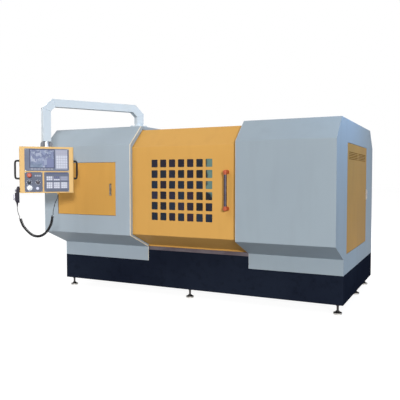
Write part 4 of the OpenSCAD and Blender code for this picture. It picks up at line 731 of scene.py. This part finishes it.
# ---- Screen unit. A cast frame in slate grey with a liquid crystal display behind glass, a row of
# soft keys and a block of rubber keys. The display glows faintly in blue with paler fields.
def fields(tree, colour, u, z, places, *tests):
    """Rectangles on the pendant's face. Each is a tone, its limits along the face and its height
    from low to high."""
    for tone, left, right, bottom, high in places:
        colour = patch(tree, colour, tone, within(tree, u, left, right),
                       within(tree, z, bottom, high), *tests)
    return colour


display = (-0.144, 0.059, 1.277, 1.435)
keypad = (0.078, 0.200, 1.268, 1.432)
rows_split = 1.388                        # the upper keys are darker from here
glow = 0.45
m, tree, shader, where = finish("slate plastic with display and keys", specular=0.4)
u, v, z = on_pendant(tree, where)
grain = add(tree, "TexNoise", Vector=where, Scale=800.0, Detail=2.0)
cloud = add(tree, "TexNoise", Vector=where, Scale=9.0, Detail=3.0)
colour = add(tree, "ValToRGB", Fac=cloud, stops=[(0.35, "#566076"), (0.65, "#626C82")])
colour = fields(tree, colour, u, z, [
    ("#2A3150", display[0] - 0.008, display[1] + 0.008, display[2] - 0.008, display[3] + 0.008),
    ("#989BAE", keypad[0] - 0.004, keypad[1] + 0.002, keypad[2] - 0.008, keypad[3] + 0.006)])
colour = fields(tree, colour, u, z, [
    ("#C1C5D2", keypad[0], keypad[1], keypad[2], rows_split),
    ("#A2A3B4", keypad[0], keypad[1], rows_split, keypad[3]),
    ("#8C90A0", -0.145, 0.065, 1.25, 1.272)], within(tree, v, -0.058, -0.0503))
colour = fields(tree, colour, u, z, [("#495165", 0.1800, 0.1965, 1.25, 1.44)])
cells = add(tree, "TexVoronoi", Scale=38.0, distance="CHEBYCHEV", feature="F1", out=1, Vector=where)
lit = add(tree, "ValToRGB", Fac=add(tree, "SeparateXYZ", out=0, Vector=cells), stops=[
    (0, "#5A6FA6"), (0.3, "#6E84BA"), (0.55, "#8897C8"), (0.75, "#9BB0E0"), (0.93, "#CCD9F8"),
    (1, "#DAE4FC")])
slant = add(tree, "TexNoise", Vector=where, Scale=31.0, Detail=3.0, Roughness=0.65)
lit = patch(tree, lit, "#D6E6FF",
            add(tree, "ValToRGB", Fac=slant, stops=[(0.53, 0.0), (0.62, 0.9)]),
            add(tree, "MapRange", Value=z, _1=1.32, _2=1.35))
lit = fields(tree, lit, u, z, [("#8593CC", 0.0, 0.07, 1.26, 1.35)])
lit = patch(tree, lit, "#7FA9B8", within(tree, u, -0.15, -0.04), add(
    tree, "ValToRGB", Fac=add(tree, "MapRange", Value=z, _1=1.29, _2=1.34),
    stops=[(0, 0.45), (1, 0.0)]))
on_glass = every(tree, within(tree, u, display[0], display[1]),
                 within(tree, z, display[2], display[3]), within(tree, v, -0.0485, -0.0475))
connect(tree, shader, Base_Color=patch(tree, colour, "#20243A", on_glass), Emission_Color=lit,
        Emission_Strength=every(tree, on_glass, glow),
        Roughness=add(tree, "MapRange", Value=on_glass, _3=0.5, _4=0.3),
        Normal=add(tree, "Bump", Strength=0.25, Distance=0.0001, Height=grain))
dress(m, "screen_unit")


# ---- Operator panel. Two steel plates in slate enamel behind the switches and the rubber keys.
# Ticks are printed in white round each knob, and the keys are off-white.
def ticks(tree, du, dz, count, inner, outer, wide):
    """Two tests for marks round a centre: between two radii, and near each of count directions,
    as wide as a share of half the angle between two."""
    turn = add(tree, "Math.MULTIPLY", _1=count / (2 * math.pi),
               _0=add(tree, "Math.ARCTAN2", _0=dz, _1=du))
    beat = add(tree, "Math.PINGPONG", _0=turn, _1=0.5)
    return (within(tree, distance(tree, du, dz), inner, outer),
            add(tree, "Math.LESS_THAN", _0=beat, _1=wide))


m, tree, shader, where = finish("slate enamel plates with pale keys", specular=0.35)
u, v, z = on_pendant(tree, where)
cloud = add(tree, "TexNoise", Vector=where, Scale=11.0, Detail=3.0)
colour = add(tree, "ValToRGB", Fac=cloud, stops=[(0.35, "#50576A"), (0.65, "#5A6175")])
colour = fields(tree, colour, u, z, [
    ("#CDD0DB", -0.010, 0.190, 1.075, 1.147), ("#C8CCDA", -0.010, 0.052, 1.148, 1.215),
    ("#D4D7E2", 0.052, 0.118, 1.148, 1.171), ("#4C5378", 0.052, 0.118, 1.171, 1.215),
    ("#9298AE", 0.118, 0.190, 1.148, 1.215), ("#9C9FAC", -0.110, -0.050, 1.190, 1.215)],
    within(tree, v, -0.060, -0.0503))
colour = fields(tree, colour, u, z, [
    ("#7D8193", -0.006, 0.187, 1.087, 1.143), ("#7D8193", -0.006, 0.187, 1.159, 1.196)],
    within(tree, v, -0.0503, -0.0490))
colour = fields(tree, colour, u, z, [("#36426C", -0.012, 0.185, 1.217, 1.225)])
for knob_u, knob_z, inner, outer, count in ((-0.155, 1.143, 0.0195, 0.0235, 8),
                                            (-0.081, 1.143, 0.0195, 0.0235, 8),
                                            (-0.151, 1.093, 0.0245, 0.0285, 16)):
    du = add(tree, "Math.SUBTRACT", _0=u, _1=knob_u)
    dz = add(tree, "Math.SUBTRACT", _0=z, _1=knob_z)
    colour = patch(tree, colour, "#D9DCE4", *ticks(tree, du, dz, count, inner, outer, 0.16),
                   within(tree, v, -0.0505, -0.0495))
fine = add(tree, "TexNoise", Vector=where, Scale=700.0, Detail=2.0)
surface(tree, shader, colour, cloud, (0.42, 0.55), fine, 0.25, 0.0001)
dress(m, "operator_panel")


# ---- Switches. A red mushroom head, two black selector knobs, a white override dial and a key
# switch with a bright ring. Each is injection moulded, satin, and glossier where it is held.
dress(moulded("red polycarbonate", "#B54B33", "#C25940", 0.34, worn="#E58E76"), "stop_button")
dress(moulded("blue-black polyamide", "#131C28", "#1A2634", 0.42, worn="#2B3848",
              pointer=(-0.155, 1.148, 1.161), specular=0.25), "mode_knob")
dress(moulded("brown-black polyamide", "#37333E", "#423D47", 0.45, worn="#544F5A",
              pointer=(-0.081, 1.148, 1.161), specular=0.25), "feed_knob")
dress(moulded("white acetal", "#E9EAEE", "#F2F3F6", 0.38), "override_dial")
dress(moulded("lilac-white acetal", "#CFD2E6", "#DADDEF", 0.36), "key_switch")


# ---- Hand wheel. A moulded case in violet-black with a white dial that is marked by fifty
# ticks, and two small selectors. It hangs in a holder beside the pendant.
dress(moulded("violet-black ABS", "#15101F", "#1F192B", 0.46, worn="#332B42",
              specular=0.2), "handwheel_box")
dial_centre = Vector((-1.203488, -1.301524, 1.01))
dial_side = Vector((0.71934, -0.694658, 0.0))
m, tree, shader, where = finish("white dial with engraved ticks", specular=0.4)
away = add(tree, "VectorMath.SUBTRACT", _0=where, _1=tuple(dial_centre))
du = add(tree, "VectorMath.DOT_PRODUCT", out=1, _0=away, _1=tuple(dial_side))
dz = add(tree, "SeparateXYZ", out=2, Vector=away)
cloud = add(tree, "TexNoise", Vector=where, Scale=40.0, Detail=3.0)
colour = add(tree, "ValToRGB", Fac=cloud, stops=[(0.4, "#D8D6E2"), (0.7, "#E6E5EE")])
colour = patch(tree, colour, "#3C3A44", *ticks(tree, du, dz, 50, 0.0225, 0.0262, 0.13))
surface(tree, shader, colour, cloud, (0.3, 0.42), cloud, 0.1, 0.0001)
dress(m, "handwheel_dial")
dress(moulded("grey acetal", "#6E6A78", "#7E7A88", 0.4), "handwheel_axis_knob",
      "handwheel_step_knob")


# ---- Castings. Grey iron, fettled and filled, then sprayed in grey-green machine enamel. The ways
# are ground bright, and the enamel stops at their edges.
ways_z, rear_ways_z, ways_near = 0.680, 0.600, 0.004
cast = {"rough": 0.42, "light": "#587470", "peel": 9.0, "depth": 0.0006, "Specular_IOR_Level": 0.35}
dress(enamel("grey-green machine enamel", "#4E6A66", oily=0.45, chipped="#6F7472", **cast)[0],
      "headstock", "tailstock", "cross_slide", "roller_fork", "tailstock_cylinder")
bed, tree, shader, where = enamel("grey-green enamel and ground ways", "#4E6A66", oily=0.4, **cast)
z = add(tree, "SeparateXYZ", out=2, Vector=where)
up = add(tree, "SeparateXYZ", out=2, Vector=add(tree, "NewGeometry", out=1))
flat = add(tree, "Math.GREATER_THAN", _0=up, _1=0.9)
levels = [within(tree, z, level - ways_near, level + ways_near) for level in (ways_z, rear_ways_z)]
ground = every(tree, flat, add(tree, "Math.MAXIMUM", _0=levels[0], _1=levels[1]))
paint = shader.inputs["Base Color"].links[0].from_socket
gloss = shader.inputs["Roughness"].links[0].from_socket
lines = add(tree, "TexNoise", Scale=260.0, Detail=3.0,
            Vector=add(tree, "VectorMath.MULTIPLY", _0=where, _1=(0.05, 1, 1)))
steel = add(tree, "ValToRGB", Fac=lines, stops=[
    (0, "#A9ADB2"), (0.4, "#B6BABF"), (0.65, "#C9CDD2")])
connect(tree, shader, Metallic=ground, Base_Color=patch(tree, paint, steel, ground),
        Roughness=add(tree, "Mix", data_type="FLOAT", _0=ground, _2=gloss, _3=0.28))
dress(bed, "bed_casting", "saddle")


# ---- Bolts of the castings. Blackened hexagon heads hold the bed's foot to the base, and socket
# screws hold the bearing caps. Spanners have rubbed their corners bright.
black_oxide = enamel("black oxide screws", "#1F2124", 0.4, light="#2B2D31", oily=0.4,
                     chipped="#7B7F84", specular=0.4)[0]
ledge_z = 380
ledge = [(x, y, ledge_z) for y, columns in ((217.5, (200, 600, 960, 1400, 1800, 2200, 2600)),
                                            (742.5, (200, 600, 960, 2200, 2600)),
                                            (1452.5, (1140, 1360, 1580, 1800, 2030)))
         for x in columns]
piece("bed_bolts", *heads(from_machine(ledge), (0, 0, 1), 0.0104, 0.012, sides=6), "machine",
      "dark_steel", black_oxide, smooth=False)
spindle_y, spindle_z = 480.0, 1080.0
for name, cap_x, way, radius, count in (("front_cap_screws", 1002, 1, 119, 8),
                                        ("rear_cap_screws", 358, -1, 117, 8),
                                        ("tail_cap_screws", 1990, -1, 79, 6)):
    t = np.linspace(0, 2 * math.pi, count, endpoint=False) + math.pi / count
    spots = np.stack([np.full(count, cap_x), spindle_y + radius * np.cos(t),
                      spindle_z + radius * np.sin(t)], axis=1)
    piece(name, *heads(from_machine(spots), (way, 0, 0), 0.0075, 0.008, sides=18, socket=0.5),
          "machine", "dark_steel", black_oxide, smooth=False)


# ---- Turned and ground steel: spindle, faceplate, screws, quill, roller and pad. Turning has left
# fine rings, and an oil film makes them a little darker in places.
turned = bright_metal("turned steel", "#C3C7CD", "#9DA2A9", 0.27, grain=2.2,
                      stretch=(1, 0.12, 0.12))[0]
dress(turned, "spindle", "faceplate", "saddle_screw", "quill", "pressure_pad", "spindle_bearings")
ground_steel = bright_metal("ground steel", "#D0D3D8", "#B2B6BC", 0.2, grain=1.4,
                            stretch=(1, 0.1, 1))[0]
dress(ground_steel, "forming_roller", "cross_screw")
pulley_iron = bright_metal("oiled cast iron", "#7F8287", "#5E6167", 0.42, grain=2.5)[0]
dress(pulley_iron, "spindle_pulley", "motor_pulley")


# ---- Drive belt. Neoprene V-belts side by side, matt black, ribbed on the outside by the wrap of
# fabric and dusty from wear.
belt = moulded("wrapped neoprene", "#17181A", "#232426", 0.7, grain=2.4, specular=0.3)
dress(belt, "drive_belt")


# ---- Motors. Ribbed cast aluminium, sprayed in blue-grey enamel. The servo motors are sprayed
# black.
dress(enamel("blue-grey motor enamel", "#4C6A74", 0.38, light="#587781", oily=0.35,
             chipped="#8C9296", specular=0.4)[0], "main_motor")
dress(enamel("black servo enamel", "#1C1E22", 0.4, light="#26292E", oily=0.3, chipped="#5B5F64",
             specular=0.4)[0], "saddle_motor", "cross_motor")


# ---- Control cabinet. Folded sheet with a gasketed door, powder coated in light grey, with a fine
# pebble and almost no wear.
dress(powder("light grey powder coat", "#C3C6C4", "#BBBFBD", specular=0.35)[0], "control_cabinet")


# ---- Studio. A white sweep and six lamps: a far one to the right of the camera, a wide one above
# the front, a cool one near the right end, one behind, one to the left and one inside. Rays that
# are seen meet white; the rest meet grey.
def softbox(name, at, to, size, power, tint="#FFFFFF"):
    """A lamp of a size in metres that stands at one place and faces another."""
    lamp = bpy.data.lights.new(name, "AREA")
    lamp.shape, lamp.size, lamp.size_y = "RECTANGLE", *size
    lamp.energy, lamp.color = power, linear(tint)[:3]
    o = bpy.data.objects.new(name, lamp)
    o.location = at
    o.visible_camera = False
    o.rotation_euler = (Vector(to) - Vector(at)).to_track_quat("-Z", "Y").to_euler()
    bpy.context.scene.collection.objects.link(o)


softbox("key", (23.6, -31.6, 8.9), (0, 0, 1.0), (5.0, 5.0), 12400)
softbox("overhead", (-2.4, -5.0, 6.0), (-0.8, 0, 1.0), (5.0, 4.0), 150)
softbox("side", (2.4, -0.15, 2.35), (1.5, -0.25, 1.6), (0.6, 0.6), 14, "#8CC6FF")
softbox("back", (1.5, 9.0, 5.0), (0.0, 1.0, 1.0), (4.0, 4.0), 420)
softbox("left", (-8.0, 3.0, 4.0), (-1.5, 0.0, 1.0), (3.0, 3.0), 190)
softbox("inside", (0.1, 0.1, 1.58), (0.1, 0.2, 0.6), (0.8, 0.4), 9, "#F2F6FF")


def seen(tree):
    """1 for rays from the camera, from a gloss or through glass, else 0."""
    rays = [add(tree, "LightPath", out=k)
            for k in ("Is Camera Ray", "Is Glossy Ray", "Is Transmission Ray")]
    both = add(tree, "Math.MAXIMUM", _0=rays[0], _1=rays[1])
    return add(tree, "Math.MAXIMUM", _0=both, _1=rays[2])


world = bpy.data.worlds.new("studio")
bpy.context.scene.world = world
world.use_nodes = True
sky = world.node_tree
sideways = add(sky, "MapRange", _1=-1.0, _2=1.0, _3=0.56, _4=0.06, Value=add(
    sky, "SeparateXYZ", out=0, Vector=add(sky, "TexCoord", out=0)))
sky.links.new(patch(sky, sideways, (1, 1, 1, 1), seen(sky)), sky.nodes["Background"].inputs[0])
floor_mesh = bpy.data.meshes.new("floor")
floor_mesh.from_pydata([(-60, -60, 0), (60, -60, 0), (60, 60, 0), (-60, 60, 0)], [], [(0, 1, 2, 3)])
floor = bpy.data.objects.new("floor", floor_mesh)
bpy.context.scene.collection.objects.link(floor)
m, tree, shader, where = finish("white sweep", Roughness=0.9, specular=0.0)
connect(tree, shader,
        Base_Color=patch(tree, (0.43, 0.43, 0.44, 1), (0.2, 0.2, 0.2, 1), seen(tree)),
        Emission_Color=patch(tree, (0, 0, 0, 1), (0.93, 0.93, 0.93, 1), seen(tree)))
shader.inputs["Emission Strength"].default_value = 1.0
floor_mesh.materials.append(m)
bpy.context.scene.view_settings.view_transform = "Standard"
